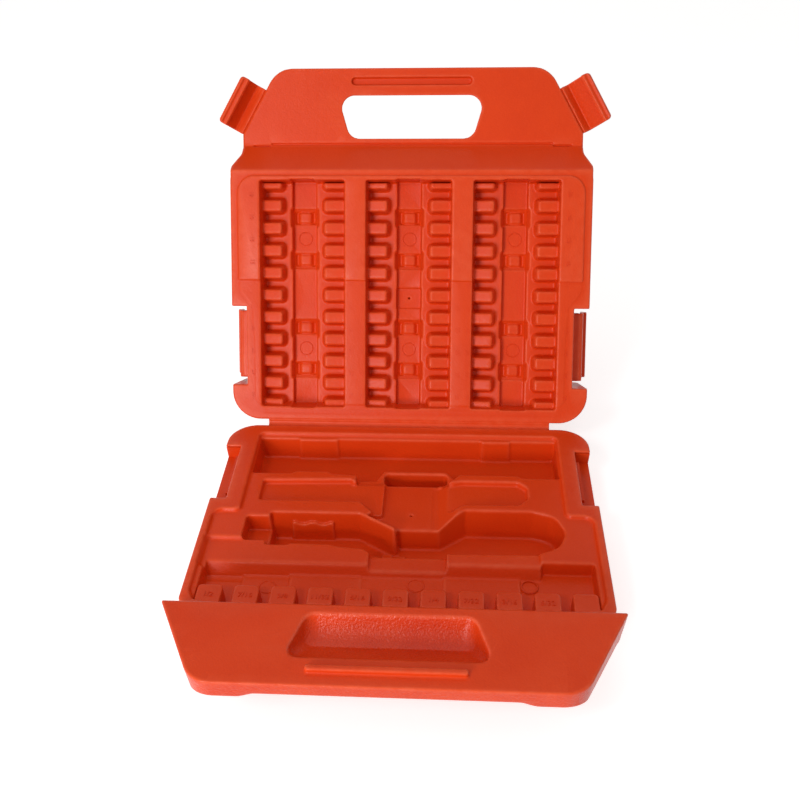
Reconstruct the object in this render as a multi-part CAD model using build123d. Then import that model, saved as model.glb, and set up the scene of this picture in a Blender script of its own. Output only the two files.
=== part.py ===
from build123d import *
import os
from math import hypot

# Drill carrying case: a base with a moulded tray, a lid with a bit rack, a bending hinge web
# along the back, two latches on the handle and two on the sides. Millimetres, +Z up.
# The origin is the centre of the base's underside, +X is to the right and +Y is to the back.
# Plan positions are given as x and v, where v is the distance forward of the hinge line.
# Heights are given as w, from the rim: up from the base's rim, down from the lid's rim.

# Overall sizes
case_width = 254.0
body_length = 180.0
base_depth = 30.0
lid_depth = 38.0
wall = 2.0
rear_edge = 3.5
rear_corner_radius = 20.0
front_corner_radius = 7.0
half_width = case_width / 2
base_draft = 2.0
lid_draft = 3.0
foot_radius = 4.0
open_angle = 116.27

# Clearances
rim_gap = 0.4
skin_clearance = 0.3
latch_clearance = 0.4
fold_clearance = 0.8

# Hinge web along the back
web_end_margin = 6.0
web_thickness = 0.8
web_axis_gap = 0.4

# Notches for the side latches
notch_start = 27.5
notch_length = 56.6
notch_inset = 10.7
base_notch_depth = 10.5
side_catch_reach = 2.3
side_catch_top = 3.2
side_catch_height = 2.5
side_catch_end_margin = 8.3

# Side latches, hinged on the lid
side_latch_end_margin = 3.8
side_latch_plate = 2.5
side_latch_axis_w = 14.0
side_latch_axis_offset = 5.5
side_latch_plate_offset = 3.2
side_latch_bead_radius = 0.5
side_latch_hook_height = 2.2
side_latch_corner = 4.0
side_latch_rest_turn = 172.0
side_latch_hook_gap = 1.0
side_lug_height = 2.4

# Handle
handle_rise = 22.0
bevel_length = 18.5
bevel_lean = 1.3
handle_length = 74.5
lid_handle_setback = 1.0
handle_overhang = 1.0
lid_handle_side_setback = 5.0
base_handle_edge = 8.5
base_handle_end_edge = 11.5
handle_end_lobe_start = 72.0
base_handle_slope = 0.50
lid_handle_slope = 0.548
lid_handle_straight = 27.0
base_handle_corner = 18.0
lid_handle_corner = 20.0
base_handle_side_draft = 4.5
lid_handle_thickness = 11.3

# Underside of the base's handle, from its tip back to the case
underside_tip_run = 9.0
underside_tip_drop = 4.0
underside_front_height = 5.0
underside_near_height = 2.0
underside_root_run = 8.0
underside_root_drop = 8.0
underside_depth = 13.0

# Hand hole in the lid's handle and the matching hollow in the base's handle
hand_hole_near_margin = 4.5
hand_hole_far_margin = 19.5
hand_hole_near_half_width = 46.5
hand_hole_far_half_width = 55.0
hand_hole_corner = 9.0
hollow_margin = 2.5
hollow_depth = 13.0
hollow_taper = 5.0

# Locating bar on the base's handle and its groove in the lid's
bar_margin = 11.0
bar_length = 86.0
bar_width = 5.0
bar_height = 3.6
groove_margin = 0.6
groove_extra_depth = 0.4

# Handle latches, folded along the slanted sides of the lid's handle
ear_end_margin = 17.02
ear_reach = 21.5
ear_axis_depth = 3.0
ear_plate_depth = 8.9
ear_plate = 2.2
ear_web = 1.2
ear_hook_start = 16.0
ear_hook_width = 2.4
ear_hook_height = 2.8
ear_corner = 3.0
ear_left_tilt = 64.0
ear_right_tilt = 38.0
handle_catch_reach = 1.8
handle_catch_top = 7.5
handle_catch_height = 4.0
handle_catch_end_margin = 2.0

# Tray in the base
tray_side_margin = 22.0
tray_front_side_margin = 4.5
tray_shoulder_gap = 10.9
tray_rear = 11.0
tray_front_margin = 3.5
tray_recess = 2.5
tray_corner = 4.0
channel_floor_height = 11.0
slot_floor_height = 10.0
deep_floor_height = 6.0
deep_step_floor_height = 15.5
ridge_depth = 9.0
panel_depth = 9.0
shallow_depth = 6.0
low_bar_depth = 8.0
front_depth = 13.0
front_side_margin = 7.8
tab_count = 11
tab_width = 15.0
tab_length = 12.5
tab_side_gap = 0.95
tab_front_gap = 2.0
tab_corner = 2.0

# Tray outlines as (x, v) points, drawn for one case size and stretched with the case
drawn_width = 254.0
drawn_length = 180.0
channel = [(-104, 15), (104, 15), (104, 54), (30, 54), (30, 45), (-16, 45), (-16, 54), (-104, 54)]
centre_strip = [(-32, 43), (29, 43), (29, 60), (-32, 60)]
centre_slot = [(-14, 47.5), (29, 47.5), (29, 58.5), (-14, 58.5)]
centre_panel = [(-13, 56.5), (24, 56.5), (24, 113), (-4, 113), (-4, 101.5), (-13, 92)]
left_shallow = [(-95, 60), (-14, 60), (-12, 92), (-19, 92), (-28, 82), (-95, 82)]
right_shallow = [(24, 72), (36, 61), (74, 61), (83, 68), (83, 75), (76, 83), (40, 83), (24, 95)]
deep_step = [(-100, 98), (-80, 98), (-80, 121), (-100, 121)]
deep_pocket = [
    (-86, 94), (-27, 94), (-4, 108.5), (-4, 101.5), (24, 101.5), (41, 89), (84, 89), (84, 127),
    (31, 129), (-18, 129), (-23, 126), (-40, 123.5), (-86, 123.5),
]
deep_end_centre = (84, 108)
deep_end_radius = 19.0
low_bar = [(-18, 127), (29.5, 127), (29.5, 143), (-18, 143)]
front_far_edge = [(-119.2, 141), (85, 141), (87, 135.5), (119.2, 135.5)]

# Bit rack in the lid
rack_start = 12.7
rack_front_margin = 8.8
rack_side_margin = 21.0
rack_pitch = 15.85
bay_count = 3
divider_width = 13.75
ledge_depth = 13.0
rack_channel_depth = 20.0
tooth_width = 10.0
tooth_height = 8.0
left_tooth_reach = 21.0
right_tooth_reach = 14.5
left_ledge = 4.0
right_ledge = 6.5
tooth_corner = 3.4

# Places that follow from the sizes
hinge_y = body_length / 2
rim_z = base_depth
lid_rim_z = rim_z + rim_gap
hinge_z = rim_z + rim_gap / 2
hinge_axis = Axis((0, hinge_y, hinge_z), (1, 0, 0))
beyond = half_width + 10
web_half_width = half_width - rear_corner_radius - web_end_margin
notch_x = half_width - notch_inset
notch_end = notch_start + notch_length
notch_middle = notch_start + notch_length / 2
side_catch_length = notch_length - 2 * side_catch_end_margin
side_latch_length = notch_length - 2 * side_latch_end_margin
handle_start = body_length + bevel_length
handle_reach = body_length + handle_length
lid_handle_reach = handle_reach - lid_handle_setback
handle_root_half_width = half_width + handle_overhang
lid_handle_root_half_width = half_width - lid_handle_side_setback
lid_handle_slant_start = body_length + lid_handle_straight
lid_slant_length = (lid_handle_reach - lid_handle_slant_start) * hypot(1, lid_handle_slope)
hand_hole_near = handle_start + hand_hole_near_margin
hand_hole_far = handle_reach - hand_hole_far_margin
bar_v = handle_reach - bar_margin
ear_length = lid_slant_length - ear_end_margin
handle_catch_length = ear_length - 2 * handle_catch_end_margin
tray_half_width = half_width - tray_side_margin
tray_front_half_width = half_width - tray_front_side_margin
tray_shoulder = notch_end + tray_shoulder_gap
tray_front = body_length - tray_front_margin
channel_depth = base_depth - channel_floor_height
slot_depth = base_depth - slot_floor_height
deep_depth = base_depth - deep_floor_height
deep_step_depth = base_depth - deep_step_floor_height
front_half_width = half_width - front_side_margin
tab_near = tray_front - tab_front_gap
tab_far = tab_near - tab_length
tab_pitch = (2 * (front_half_width - tab_side_gap) - tab_width) / (tab_count - 1)
rack_length = body_length - rack_start - rack_front_margin
rack_gaps = int(rack_length / rack_pitch + 0.001)
rack_end = rack_start + rack_pitch * rack_gaps
rack_half_width = half_width - rack_side_margin
bay_width = (2 * rack_half_width - (bay_count - 1) * divider_width) / bay_count
bay_pitch = bay_width + divider_width
rack_channel_start = left_tooth_reach + left_ledge
rack_channel_end = bay_width - right_tooth_reach - right_ledge


def plan(points, radius=0.0):
    """A flat outline at z = 0 from (x, v) points, with all its corners rounded alike."""
    corners = [(x, hinge_y - v) for x, v in points]
    face = make_face(Polyline(*corners, close=True))
    if radius > 0:
        face = fillet(face.vertices(), radius)
    return face


def block(x0, x1, v0, v1, radius=0.0):
    """A rectangular outline between two x and two v positions."""
    return plan([(x0, v0), (x1, v0), (x1, v1), (x0, v1)], radius)


def prism(outline, low, high):
    """The outline carried from one height to another."""
    return extrude(Pos(0, 0, low) * outline, amount=high - low)


def stretched(points):
    """Tray points moved out or in with the case's width and length."""
    return [(x * case_width / drawn_width, v * body_length / drawn_length) for x, v in points]


def mirrored(points):
    """The points followed by their mirror images in x, in reverse, as one closed outline."""
    return points + [(-x, v) for x, v in reversed(points)]


def body_outline(inset=0.0):
    """Outline of either half of the case at its rim, drawn in by the inset."""
    half = half_width - inset
    rear = rear_edge + inset
    front = body_length - inset
    outline = block(-half, half, rear, front)
    rear_corners = outline.vertices().group_by(Axis.Y)[-1]
    outline = fillet(rear_corners, rear_corner_radius - inset)
    front_corners = outline.vertices().group_by(Axis.Y)[0]
    return fillet(front_corners, max(front_corner_radius - inset, 0.5))


def drafted(inset, draft, top, bottom):
    """The body between two heights, drawn in by the inset and, at its far end, by the draft."""
    far = Pos(0, 0, bottom) * body_outline(inset + draft)
    near = Pos(0, 0, top) * body_outline(inset)
    return loft([far, near], ruled=True)


def notch_blocks(margin, low, high):
    """The two side notches as solids, grown by a margin towards the body."""
    solids = Part()
    for side in (-1, 1):
        inner = side * (notch_x - margin)
        outer = side * beyond
        outline = block(min(inner, outer), max(inner, outer), notch_start - margin, notch_end + margin)
        solids += prism(outline, low, high)
    return solids


def to_open(shape):
    """Turn a piece of the closed lid to its open place."""
    return shape.rotate(hinge_axis, -open_angle)


def side_profile(points):
    """A flat outline in the side view from (v, height) points, centred on x = 0."""
    corners = [(0, hinge_y - v, z) for v, z in points]
    return make_face(Polyline(*corners, close=True))


def across(points, half):
    """A side-view outline carried to both sides of the middle."""
    return extrude(side_profile(points), amount=half, both=True)


def handle_outline(half, reach, slope, slant_start, corner, inset=0.0):
    """Plan of a handle: its sides run straight, then slant in to large outer corners."""
    tip_half = half - slope * (reach - slant_start)
    side_inset = inset * hypot(1, slope)
    points = [(half - inset, body_length), (half - side_inset, slant_start)]
    points.append((tip_half - side_inset + slope * inset, reach - inset))
    outline = plan(mirrored(points))
    outer = outline.vertices().group_by(Axis.Y)[0]
    return fillet(outer, max(corner - inset, 1.0))


# Base: outer shell
def make_base_outer_shell():
    outer = drafted(0, base_draft, rim_z, 0)
    bottom_edges = outer.edges().group_by(Axis.Z)[0]
    outer = fillet(bottom_edges, foot_radius)
    inner = drafted(wall, base_draft, rim_z + 1, wall)
    notch_low = rim_z - base_notch_depth
    outer -= notch_blocks(0, notch_low, rim_z + 1)
    inner -= notch_blocks(wall, notch_low - wall, rim_z + 2)
    shell = outer - inner
    shell -= prism(block(-half_width, half_width, 0, body_length), rim_z - wall, rim_z + 2)
    catch_top = rim_z - side_catch_top
    start = notch_middle - side_catch_length / 2
    for side in (-1, 1):
        ends = sorted((side * (notch_x - wall / 2), side * (notch_x + side_catch_reach)))
        outline = block(ends[0], ends[1], start, start + side_catch_length)
        shell += prism(outline, catch_top - side_catch_height, catch_top)
    return shell


# Base: tray with its pockets, each an outline and a floor depth below the rim
def tray_pockets():
    recess = [(tray_half_width, tray_rear), (tray_half_width, tray_shoulder)]
    recess += [(tray_front_half_width, tray_shoulder), (tray_front_half_width, tray_front)]
    deep_x, deep_v = stretched([deep_end_centre])[0]
    deep_end = Pos(deep_x, hinge_y - deep_v, 0) * Circle(deep_end_radius)
    front = stretched(front_far_edge)
    front[0] = (-front_half_width, front[0][1])
    front[-1] = (front_half_width, front[-1][1])
    front += [(front_half_width, tab_near), (-front_half_width, tab_near)]
    return [
        (plan(mirrored(recess), tray_corner), tray_recess),
        (plan(stretched(channel), 1.5), channel_depth),
        (plan(stretched(centre_strip)), ridge_depth),
        (plan(stretched(centre_slot), 2.0), slot_depth),
        (plan(stretched(centre_panel)), panel_depth),
        (plan(stretched(left_shallow), 1.2), shallow_depth),
        (plan(stretched(right_shallow), 1.5), shallow_depth),
        (plan(stretched(deep_step), 2.0), deep_step_depth),
        (plan(stretched(deep_pocket), 1.0) + deep_end, deep_depth),
        (plan(stretched(low_bar)), low_bar_depth),
        (plan(front), front_depth),
    ]


def make_base_tray():
    plate = prism(body_outline(), rim_z - wall, rim_z)
    cups = Part()
    hollows = Part()
    for outline, depth in tray_pockets():
        grown = offset(outline, amount=wall)
        cups += prism(grown, rim_z - depth - wall, rim_z)
        hollows += prism(outline, rim_z - depth, rim_z + 1)
    inside = wall + skin_clearance
    fit = drafted(inside, base_draft, rim_z, inside)
    keep_clear = notch_blocks(inside, rim_z - base_notch_depth - inside, rim_z)
    cups = (cups & fit) - keep_clear
    tray = plate + cups - hollows
    return tray - notch_blocks(0, rim_z - wall - 1, rim_z + 1)


def make_drill_tabs():
    tabs = Part()
    for index in range(tab_count):
        centre = (index - (tab_count - 1) / 2) * tab_pitch
        outline = block(centre - tab_width / 2, centre + tab_width / 2, tab_far, tab_near)
        outline = fillet(outline.vertices().group_by(Axis.Y)[-1], tab_corner)
        tabs += prism(outline, rim_z - front_depth, rim_z - tray_recess)
    return tabs


# Base: handle, whose mating face stands above the rim, in two skins
def base_handle_profile(edge, inset=0.0):
    top = rim_z + handle_rise - inset
    front = handle_reach - inset
    low_front = rim_z + handle_rise - edge + inset
    low = rim_z + inset
    return [
        (body_length, rim_z - inset * bevel_lean),
        (handle_start, top),
        (front, top),
        (front, low_front),
        (handle_reach - underside_tip_run, low_front - underside_tip_drop),
        (hand_hole_far + hollow_margin, low + underside_front_height),
        (hand_hole_near, low + underside_near_height),
        (body_length + underside_root_run, low - underside_root_drop),
        (body_length, low - underside_depth),
    ]


def base_handle_body(inset=0.0):
    """The base's handle as one closed form, drawn in by the inset."""
    outline_top = handle_outline(
        handle_root_half_width, handle_reach, base_handle_slope, handle_start,
        base_handle_corner, inset,
    )
    outline_low = handle_outline(
        handle_root_half_width - base_handle_side_draft, handle_reach, base_handle_slope,
        handle_start, base_handle_corner, inset,
    )
    low_z = rim_z - underside_depth - 3
    high_z = rim_z + handle_rise
    side_form = loft([Pos(0, 0, low_z) * outline_low, Pos(0, 0, high_z) * outline_top], ruled=True)
    middle = across(base_handle_profile(base_handle_edge, inset), beyond)
    ends = across(base_handle_profile(base_handle_end_edge, inset), beyond)
    keep = block(-handle_end_lobe_start, handle_end_lobe_start, body_length - 1, handle_reach + 1)
    ends -= prism(keep, low_z, high_z + 1)
    return (middle + ends) & side_form


def base_handle_band():
    """The top wall of the base's handle: bevel and mating face."""
    points = [
        (body_length, rim_z + 1),
        (handle_start, rim_z + handle_rise + 1),
        (handle_reach + 1, rim_z + handle_rise + 1),
        (handle_reach + 1, rim_z + handle_rise - wall),
        (handle_start + wall * 0.4, rim_z + handle_rise - wall),
        (body_length, rim_z - wall * bevel_lean),
    ]
    return across(points, beyond)


def hand_outline(margin=0.0):
    """Outline of the hand hole, grown by a margin."""
    near = hand_hole_near - margin
    far = hand_hole_far + margin
    points = [(hand_hole_near_half_width + margin, near), (hand_hole_far_half_width + margin, far)]
    return plan(mirrored(points), min(hand_hole_corner, (far - near) / 2 - 0.1))


def make_base_handle_face():
    face = base_handle_body() & base_handle_band()
    top = rim_z + handle_rise
    floor = top - hollow_depth
    cup_outline = hand_outline()
    low_outline = hand_outline(-hollow_taper)
    hollow = loft([Pos(0, 0, floor) * low_outline, Pos(0, 0, top) * cup_outline], ruled=True)
    cup_low = Pos(0, 0, floor - wall) * offset(low_outline, amount=wall)
    cup_high = Pos(0, 0, top) * offset(cup_outline, amount=wall)
    face = face + loft([cup_low, cup_high], ruled=True) - hollow
    bar = SlotOverall(bar_length, bar_width)
    bar = Pos(0, hinge_y - bar_v, 0) * bar
    face += prism(bar, top - wall / 2, top + bar_height)
    return face


def slanted_strip(start, length, offset_low, offset_high, half, slope, slant_start):
    """A strip beside the handle's slanted side, between two offsets out from it."""
    direction = (-slope / hypot(1, slope), 1 / hypot(1, slope))
    normal = (1 / hypot(1, slope), slope / hypot(1, slope))
    base_x = half - slope * (start - slant_start)
    corners = []
    for along, out in ((0, offset_low), (length, offset_low), (length, offset_high), (0, offset_high)):
        x = base_x + direction[0] * along + normal[0] * out
        v = start + direction[1] * along + normal[1] * out
        corners.append((x, v))
    return corners


def make_base_handle_underside():
    skin = base_handle_body() - base_handle_body(wall)
    skin -= base_handle_band()
    room_low = rim_z + handle_rise - hollow_depth - wall + 1
    hollow_room = offset(hand_outline(), amount=wall + skin_clearance)
    skin -= prism(hollow_room, room_low, rim_z + handle_rise + 1)
    top = rim_z + handle_rise - handle_catch_top
    start = lid_handle_slant_start + (ear_length - handle_catch_length) / 2
    for side in (-1, 1):
        corners = slanted_strip(
            start, handle_catch_length, -5.0, handle_catch_reach,
            handle_root_half_width, base_handle_slope, handle_start,
        )
        ridge = prism(plan([(side * x, v) for x, v in corners]), top - handle_catch_height, top)
        ridge -= base_handle_body(wall)
        skin += ridge
    return skin


# Lid, drawn closed over the base and then turned open
def make_lid_outer_shell():
    outer = drafted(0, lid_draft, lid_rim_z, lid_rim_z + lid_depth)
    top_edges = outer.edges().group_by(Axis.Z)[-1]
    outer = fillet(top_edges, foot_radius)
    inner = drafted(wall, lid_draft, lid_rim_z - 1, lid_rim_z + lid_depth - wall)
    outer -= notch_blocks(0, lid_rim_z - 1, lid_rim_z + lid_depth + 1)
    inner -= notch_blocks(wall, lid_rim_z - 2, lid_rim_z + lid_depth + 1)
    shell = outer - inner
    shell -= prism(block(-half_width, half_width, 0, body_length), lid_rim_z - 2, lid_rim_z + wall)
    lug_low = lid_rim_z + side_latch_axis_w + side_latch_bead_radius / 2
    lug_reach = notch_x + side_latch_axis_offset - side_latch_bead_radius - latch_clearance
    for side in (-1, 1):
        ends = sorted((side * (notch_x - wall / 2), side * lug_reach))
        start = notch_middle - side_latch_length / 2
        lug = block(ends[0], ends[1], start, start + side_latch_length)
        shell += prism(lug, lug_low, lug_low + side_lug_height)
    return to_open(shell)


def bay_left(index):
    """Left edge of a bay of the rack."""
    return (index - (bay_count - 1) / 2) * bay_pitch - bay_width / 2


def make_lid_rack():
    plate = prism(body_outline(), lid_rim_z, lid_rim_z + wall)
    cups = Part()
    hollows = Part()
    for index in range(bay_count):
        left = bay_left(index)
        bay = block(left, left + bay_width, rack_start, rack_end)
        channel = block(left + rack_channel_start, left + rack_channel_end, rack_start, rack_end)
        for outline, depth in ((bay, ledge_depth), (channel, rack_channel_depth)):
            cups += prism(offset(outline, amount=wall), lid_rim_z, lid_rim_z + depth + wall)
            hollows += prism(outline, lid_rim_z - 1, lid_rim_z + depth)
    rack = plate + cups - hollows
    rack -= notch_blocks(0, lid_rim_z - 1, lid_rim_z + wall + 1)
    return to_open(rack)


def make_rack_teeth(index):
    """Both columns of teeth in one bay; the first and last rows are half teeth."""
    left = bay_left(index)
    right = left + bay_width
    low = lid_rim_z + ledge_depth - tooth_height
    high = lid_rim_z + ledge_depth
    teeth = Part()
    for row in range(rack_gaps + 1):
        centre = rack_start + row * rack_pitch
        v0 = max(centre - tooth_width / 2, rack_start)
        v1 = min(centre + tooth_width / 2, rack_end)
        radius = min(tooth_corner, (v1 - v0) / 2 - 0.1)
        left_tooth = block(left, left + left_tooth_reach, v0, v1)
        left_tooth = fillet(left_tooth.vertices().group_by(Axis.X)[-1], radius)
        right_tooth = block(right - right_tooth_reach, right, v0, v1)
        right_tooth = fillet(right_tooth.vertices().group_by(Axis.X)[0], radius)
        teeth += prism(left_tooth, low, high)
        teeth += prism(right_tooth, low, high)
    return to_open(teeth)


def lid_handle_body(inset=0.0):
    """The lid's handle as one closed form, drawn in by the inset."""
    face_z = lid_rim_z + handle_rise + inset
    back_z = lid_rim_z + handle_rise + lid_handle_thickness - inset
    points = [
        (body_length, lid_rim_z + inset * bevel_lean),
        (handle_start, face_z),
        (lid_handle_reach - inset, face_z),
        (lid_handle_reach - inset, back_z),
        (body_length, back_z),
    ]
    outline = handle_outline(
        lid_handle_root_half_width, lid_handle_reach, lid_handle_slope, lid_handle_slant_start,
        lid_handle_corner, inset,
    )
    form = across(points, beyond)
    return form & prism(outline, lid_rim_z - 1, back_z + 1)


def lid_handle_band():
    """The inner wall of the lid's handle: bevel and mating face."""
    face_z = lid_rim_z + handle_rise
    points = [
        (body_length, lid_rim_z - 1),
        (handle_start, face_z - 1),
        (lid_handle_reach + 1, face_z - 1),
        (lid_handle_reach + 1, face_z + wall),
        (handle_start + wall * 0.4, face_z + wall),
        (body_length, lid_rim_z + wall * bevel_lean),
    ]
    return across(points, beyond)


def make_lid_handle_face():
    low = lid_rim_z + handle_rise
    back = low + lid_handle_thickness
    face = lid_handle_body() & lid_handle_band()
    rim = prism(offset(hand_outline(), amount=wall), low, back - wall)
    groove = SlotOverall(bar_length + 2 * groove_margin, bar_width + 2 * groove_margin)
    groove = Pos(0, hinge_y - bar_v, 0) * groove
    groove_depth = bar_height + groove_extra_depth
    face += prism(offset(groove, amount=wall), low, low + groove_depth + wall)
    face += rim
    face -= prism(groove, low - 1, low + groove_depth)
    face -= prism(hand_outline(), low - 1, back + 1)
    return to_open(face)


def make_lid_handle_back():
    low = lid_rim_z + handle_rise
    back = low + lid_handle_thickness
    skin = lid_handle_body() - lid_handle_body(wall)
    skin -= lid_handle_band()
    skin -= prism(hand_outline(), low - 1, back + 1)
    rim_room = prism(offset(hand_outline(), amount=wall), low - 1, back - wall)
    skin -= rim_room
    return to_open(skin)


# Hinge web: one leaf on each half, meeting near the axis
def make_web_leaf(low):
    return prism(block(-web_half_width, web_half_width, web_axis_gap, rear_edge), low, low + web_thickness)


# Handle latches, drawn flat beside the lid's handle and tilted about the fold
def fold_axis(side):
    """The fold line of a handle latch, with the lid closed."""
    slope = lid_handle_slope
    x = lid_handle_root_half_width + fold_clearance * hypot(1, slope)
    y = hinge_y - lid_handle_slant_start
    z = lid_rim_z + handle_rise + ear_axis_depth
    return Axis((side * x, y, z), (-side * slope, -1, 0))


def make_handle_latch(side, tilt):
    face_z = lid_rim_z + handle_rise
    axis_z = face_z + ear_axis_depth
    plate_z = face_z + ear_plate_depth
    s0 = fold_clearance
    section = [
        (s0, axis_z - ear_web / 2),
        (s0 + ear_web, axis_z - ear_web / 2),
        (s0 + ear_web + 1.2, plate_z),
        (ear_hook_start, plate_z),
        (ear_hook_start + 0.3, plate_z - ear_hook_height),
        (ear_hook_start + ear_hook_width, plate_z - ear_hook_height),
        (ear_hook_start + ear_hook_width + 1.2, plate_z - 0.6),
        (ear_reach, plate_z - 0.3),
        (ear_reach, plate_z + ear_plate),
        (s0, plate_z + ear_plate),
    ]
    length = hypot(1, lid_handle_slope)
    normal = Vector(side / length, -lid_handle_slope / length, 0)
    along = Vector(-side * lid_handle_slope / length, -1 / length, 0)
    root = Vector(side * lid_handle_root_half_width, hinge_y - lid_handle_slant_start, 0)
    corners = [root + normal * s + Vector(0, 0, z) for s, z in section]
    ear = extrude(make_face(Polyline(*corners, close=True)), amount=ear_length, dir=along)
    tip_edges = [
        edge for edge in ear.edges().filter_by(Axis.Z)
        if abs((edge.center() - root).dot(normal) - ear_reach) < 0.1
    ]
    ear = fillet(tip_edges, ear_corner)
    return to_open(ear.rotate(fold_axis(side), -side * tilt))


# Side latches, drawn closed over the notches and turned back
def side_latch_axis(side):
    """The fold line of a side latch, with the lid closed."""
    y = hinge_y - notch_middle
    x = side * (notch_x + side_latch_axis_offset)
    return Axis((x, y, lid_rim_z + side_latch_axis_w), (0, 1, 0))


def make_side_latch(side):
    axis_z = lid_rim_z + side_latch_axis_w
    low = rim_z - base_notch_depth + side_latch_hook_gap
    hook_top = rim_z - side_catch_top - side_catch_height - side_latch_hook_gap
    inner = notch_x + side_latch_plate_offset
    outer = inner + side_latch_plate
    section = [
        (inner, axis_z - 1.6),
        (inner + 0.9, axis_z - 0.6),
        (outer - 0.3, axis_z),
        (outer, axis_z - 0.6),
        (outer, low),
        (inner - side_latch_hook_height, low),
        (inner - side_latch_hook_height, hook_top - 0.4),
        (inner, hook_top),
    ]
    y0 = hinge_y - notch_middle + side_latch_length / 2
    corners = [Vector(side * x, y0, z) for x, z in section]
    side_face = make_face(Polyline(*corners, close=True))
    flap = extrude(side_face, amount=side_latch_length, dir=(0, -1, 0))
    tip_edges = [edge for edge in flap.edges().filter_by(Axis.X) if edge.center().Z < low + 0.1]
    flap = fillet(tip_edges, side_latch_corner)
    bead_axis = Pos(side * (notch_x + side_latch_axis_offset), hinge_y - notch_middle, axis_z)
    flap += bead_axis * Rot(90, 0, 0) * Cylinder(side_latch_bead_radius, side_latch_length)
    return to_open(flap.rotate(side_latch_axis(side), -side * side_latch_rest_turn))


pieces = {
    "base_outer_shell": make_base_outer_shell(),
    "base_tray": make_base_tray(),
    "drill_tabs": make_drill_tabs(),
    "base_handle_face": make_base_handle_face(),
    "base_handle_underside": make_base_handle_underside(),
    "hinge_web_base_leaf": make_web_leaf(rim_z - web_thickness),
    "hinge_web_lid_leaf": to_open(make_web_leaf(lid_rim_z)),
    "lid_outer_shell": make_lid_outer_shell(),
    "lid_rack": make_lid_rack(),
    "lid_handle_face": make_lid_handle_face(),
    "lid_handle_back": make_lid_handle_back(),
    "handle_latch_left": make_handle_latch(-1, ear_left_tilt),
    "handle_latch_right": make_handle_latch(1, ear_right_tilt),
    "side_latch_left": make_side_latch(-1),
    "side_latch_right": make_side_latch(1),
}
for bay, side_name in enumerate(("left", "middle", "right")):
    pieces["rack_teeth_" + side_name] = make_rack_teeth(bay)

os.makedirs("parts", exist_ok=True)
for name, piece in pieces.items():
    export_step(piece, "parts/" + name + ".step")
    print(name, len(piece.solids()), round(piece.volume / 1000, 1), "cm3")
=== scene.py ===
"""Looks of the drill carrying case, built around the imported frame.

Each half of the case is worked out as a field of distances to its moulded surface, so that every
wall, tooth and pocket gets the soft edges of a blow moulding, and is then meshed. Sizes are in
millimetres and become metres when a mesh is placed. A point of either half is (x, v, w): v runs
from the hinge line towards the handle, and w is the height over that half's own rim. The CAD nodes
of the two outer shells stay in view and only get the finish.
"""

import logging
import math
from collections.abc import Callable, Iterable
from dataclasses import dataclass, field
from enum import Enum
from functools import reduce

import bpy
import numpy as np
from mathutils import Matrix, Vector

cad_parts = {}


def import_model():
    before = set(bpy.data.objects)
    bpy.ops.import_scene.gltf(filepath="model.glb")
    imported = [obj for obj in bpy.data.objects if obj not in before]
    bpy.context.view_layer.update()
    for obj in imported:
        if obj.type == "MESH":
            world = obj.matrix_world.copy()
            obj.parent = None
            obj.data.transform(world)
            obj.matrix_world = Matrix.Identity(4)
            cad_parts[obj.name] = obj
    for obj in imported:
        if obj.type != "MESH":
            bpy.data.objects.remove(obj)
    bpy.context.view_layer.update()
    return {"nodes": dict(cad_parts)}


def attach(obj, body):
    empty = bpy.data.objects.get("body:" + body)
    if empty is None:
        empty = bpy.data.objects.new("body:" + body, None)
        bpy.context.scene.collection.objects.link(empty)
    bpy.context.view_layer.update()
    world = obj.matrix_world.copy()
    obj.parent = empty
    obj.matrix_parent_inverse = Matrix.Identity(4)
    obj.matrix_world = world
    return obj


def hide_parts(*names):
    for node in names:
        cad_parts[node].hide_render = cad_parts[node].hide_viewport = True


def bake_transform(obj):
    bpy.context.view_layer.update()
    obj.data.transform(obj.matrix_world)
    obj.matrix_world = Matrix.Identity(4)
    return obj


Array = np.ndarray
Point = tuple[float, float]
Place = tuple[float, float, float]
Placement = Callable[[Array], Array]

LOG = logging.getLogger("drill_case")
EDGE_MASK = "outer_edge"

# Metres in a millimetre.
MM = 0.001
# Bulge of a surface, per millimetre, at which the edge mask is full.
SHARPEST_EDGE = 0.9
# A length too small to matter, and one longer than any in the case.
TINY = 1e-9
HUGE = 1e9
# A corner flatter than this angle isn't rounded.
NEARLY_STRAIGHT = math.radians(178)
# Share of a side that one corner's arc may take up.
ARC_LIMIT = 0.49
# The corners of a cell of a grid.
CELL_CORNERS = [(dx, dy, dz) for dx in (0, 1) for dy in (0, 1) for dz in (0, 1)]
# Bays side by side in the lid's rack.
BAYS = 3
# Places of the sockets of a Mix node that mixes colours.
MIX_SHARE = 0
MIX_FIRST = 6
MIX_SECOND = 7
MIX_RESULT = 2


class Half(Enum):
    """The half of the case that a shape belongs to, with the body that it moves with."""

    BASE = "base"
    LID = "lid"


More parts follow.
